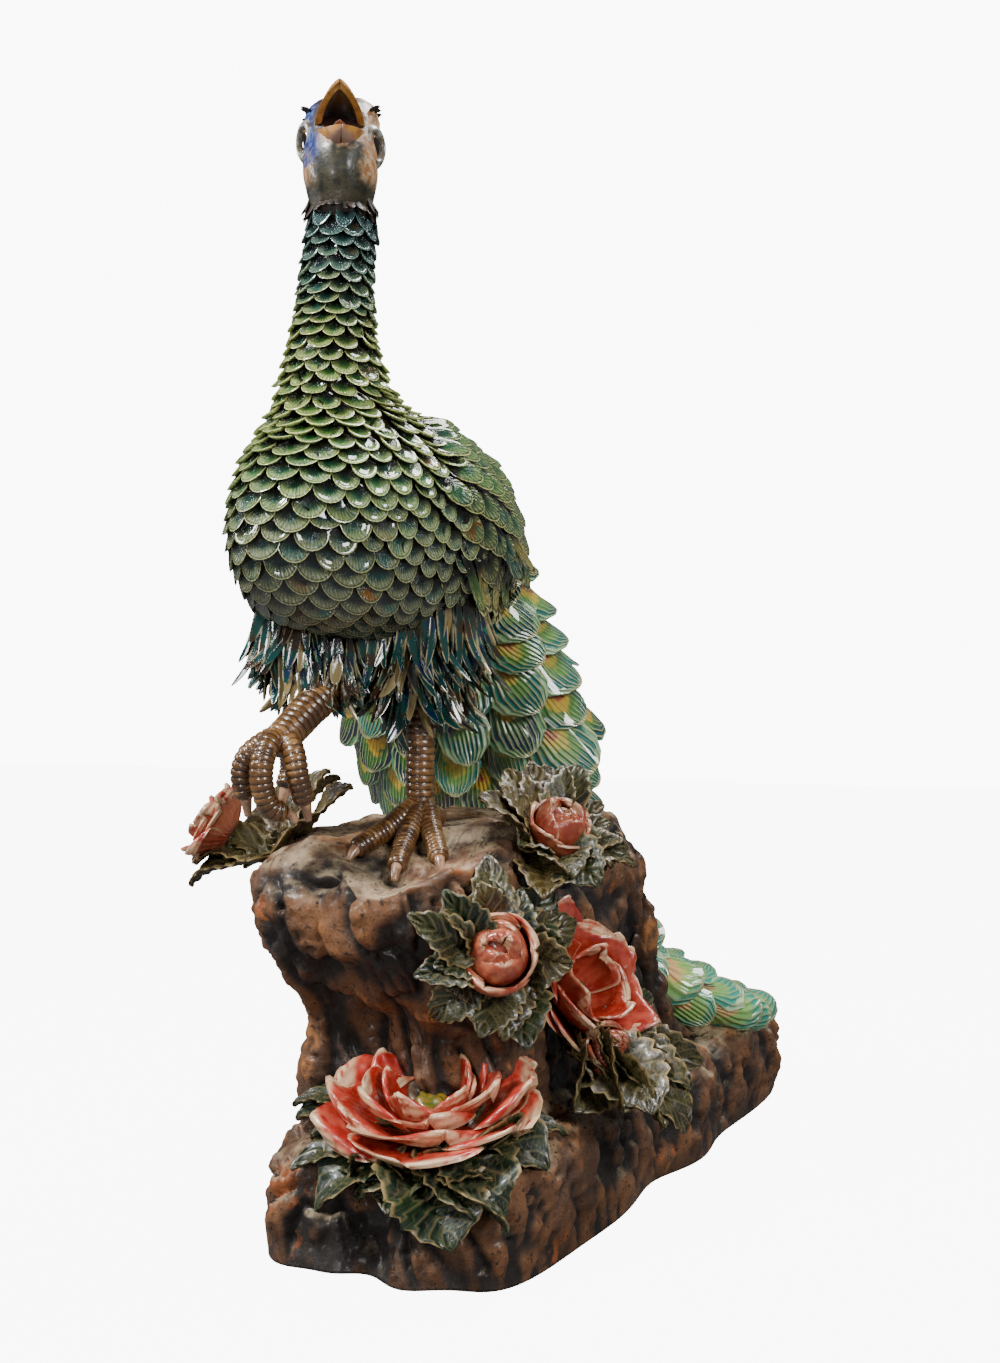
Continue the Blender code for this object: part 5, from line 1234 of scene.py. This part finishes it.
def boss_form(centre, axis, radius, share, rise):
    """A flower's knob: a ball of a share of its radius, standing up the axis by rise, with a lumpy skin."""
    turns = np.linspace(0, 2 * np.pi, 28, endpoint=False)
    t, turn = np.meshgrid(np.linspace(0.15, 2.6, 12), turns, indexing="ij")
    t, turn = t[..., None], turn[..., None]
    side, other = across_frame(axis, (0.2, 1.0, 0.1))
    ball = np.sin(t) * (side * np.cos(turn) + other * np.sin(turn)) - axis * np.cos(t)
    ball = centre + radius * (rise * axis + share * ball)
    return ball + (ball - centre) * 0.16 * cloud(ball, 0.006, 21)[..., None]


glaze = Glaze("petal_glaze", None, roughness=0.30, coat=0.35, coat_roughness=0.06)
across, down, inner = glaze.parts(glaze.attribute("place", "Vector"))
brown = glaze.attribute("brown")
patches = glaze.patches(0.016, 4.0, 0.40, 0.62)
inside = glaze.mix(patches, colour(156, 30, 22), colour(184, 72, 54))
outside = glaze.mix(patches, colour(176, 74, 54), colour(196, 118, 88))
glaze.tone = glaze.mix(glaze.step(inner, -0.2, 0.2), outside, inside)
glaze.lay(glaze.mix(patches, colour(108, 42, 22), colour(142, 70, 42)), brown, 0.85)
streaks = glaze.maths("SINE", glaze.times(across, 26.0))
glaze.lay(colour(110, 30, 20), glaze.step(streaks, 0.2, 1.0), 0.12)
sides = glaze.step(glaze.maths("ABSOLUTE", across), 0.90, 0.995)
rim = glaze.maths("MAXIMUM", glaze.step(down, 0.93, 0.995), sides)
rim = glaze.times(rim, glaze.patches(0.012, 3.0, 0.30, 0.50))
glaze.lay(colour(214, 178, 140), rim, glaze.maths("SUBTRACT", 1.0, glaze.times(brown, 0.5)))
# Painted shade at the base of each petal, deep in the flower.
glaze.lay(colour(84, 22, 14), glaze.step(down, 0.30, 0.0))
glaze.finish(glaze.maths("ADD", streaks, glaze.noise(0.004)), 0.00025)
knob = {"detail": 4.0, "low": 0.42, "roughness": 0.35}
boss_glaze = mottled("boss_glaze", colour(122, 96, 26), colour(76, 84, 28), 0.008, coat=0.5, **knob)
heart_glaze = mottled("heart_glaze", colour(96, 30, 18), colour(140, 62, 40), 0.008, coat=0.3, **knob)
for name, (centre, facing, radius, whorls, brown) in FLOWERS.items():
    centre, axis = np.array(centre), unit(np.array(facing))
    grid, place = petal_forms(centre, axis, radius, whorls)
    tints = {"place": place, "brown": each(np.full(len(grid), brown))}
    skin(name, grid, glaze.material, "petal_glaze", crease=100, **tints)
    (share, rise), material = (HEART, heart_glaze) if whorls is CLOSED else (BOSS, boss_glaze)
    boss = boss_form(centre, axis, radius, share, rise)
    skin(f"{name}_boss", boss[::-1], material, "petal_glaze", crease=180)

# Floor, lights and camera. A white paper sweep that glows only for the camera, five soft lamps, and a view
# from a little to the bird's left.

FLOOR_HALF = 6.0
# Name, place and size in metres, then power in watts.
LIGHTS = [
    ("key_light", (-1.0, -1.9, 2.8), 0.5, 150),
    ("fill_light", (2.3, -1.3, 1.7), 0.7, 62),
    ("top_light", (0.5, 0.6, 2.7), 0.9, 80),
    ("left_light", (-2.1, -1.0, 1.3), 0.35, 16),
    ("low_light", (0.2, -2.5, 0.9), 0.35, 16),
]
LOOK_AT = Vector((0, -0.1, 0.45))

floor = bpy.data.objects.new("floor", bpy.data.meshes.new("floor"))
corners = [(x * FLOOR_HALF, y * FLOOR_HALF, 0) for x, y in ((-1, -1), (1, -1), (1, 1), (-1, 1))]
floor.data.from_pydata(corners, [], [(0, 1, 2, 3)])
paper = Glaze("paper", colour(84, 84, 84), roughness=0.8, coat=0.0)
paper.lay(colour(90, 90, 90), paper.noise(0.5))
paper.finish()
paper.shader.inputs["Emission Color"].default_value = (1, 1, 1, 1)
seen = paper.add("ShaderNodeLightPath", {}, "Is Camera Ray")
glow = paper.add("ShaderNodeMapRange", {"Value": seen, "To Min": 0.02, "To Max": 9.0})
paper.tree.links.new(glow, paper.shader.inputs["Emission Strength"])
floor.data.materials.append(paper.material)
bpy.context.scene.collection.objects.link(floor)

for name, place, size, power in LIGHTS:
    light = bpy.data.lights.new(name, "AREA")
    light.size, light.energy = size, power
    lamp = bpy.data.objects.new(name, light)
    lamp.location = place
    lamp.rotation_euler = (LOOK_AT - Vector(place)).to_track_quat("-Z", "Y").to_euler()
    bpy.context.scene.collection.objects.link(lamp)

world = bpy.data.worlds.new("studio")
world.use_nodes = True
backdrop = world.node_tree.nodes["Background"]
backdrop.inputs["Color"].default_value = (1, 1, 1, 1)
seen = world.node_tree.nodes.new("ShaderNodeLightPath")
strength = world.node_tree.nodes.new("ShaderNodeMapRange")
strength.inputs["To Min"].default_value, strength.inputs["To Max"].default_value = 0.16, 10.0
world.node_tree.links.new(seen.outputs["Is Camera Ray"], strength.inputs["Value"])
world.node_tree.links.new(strength.outputs["Result"], backdrop.inputs["Strength"])
bpy.context.scene.world = world

camera = bpy.data.objects.new("camera", bpy.data.cameras.new("camera"))
camera.location = (0.6914, -1.5281, 0.48)
camera.rotation_euler = (math.radians(90), 0, math.radians(26))
camera.data.sensor_width = 36
camera.data.lens = 43.58
bpy.context.scene.collection.objects.link(camera)
bpy.context.scene.camera = camera
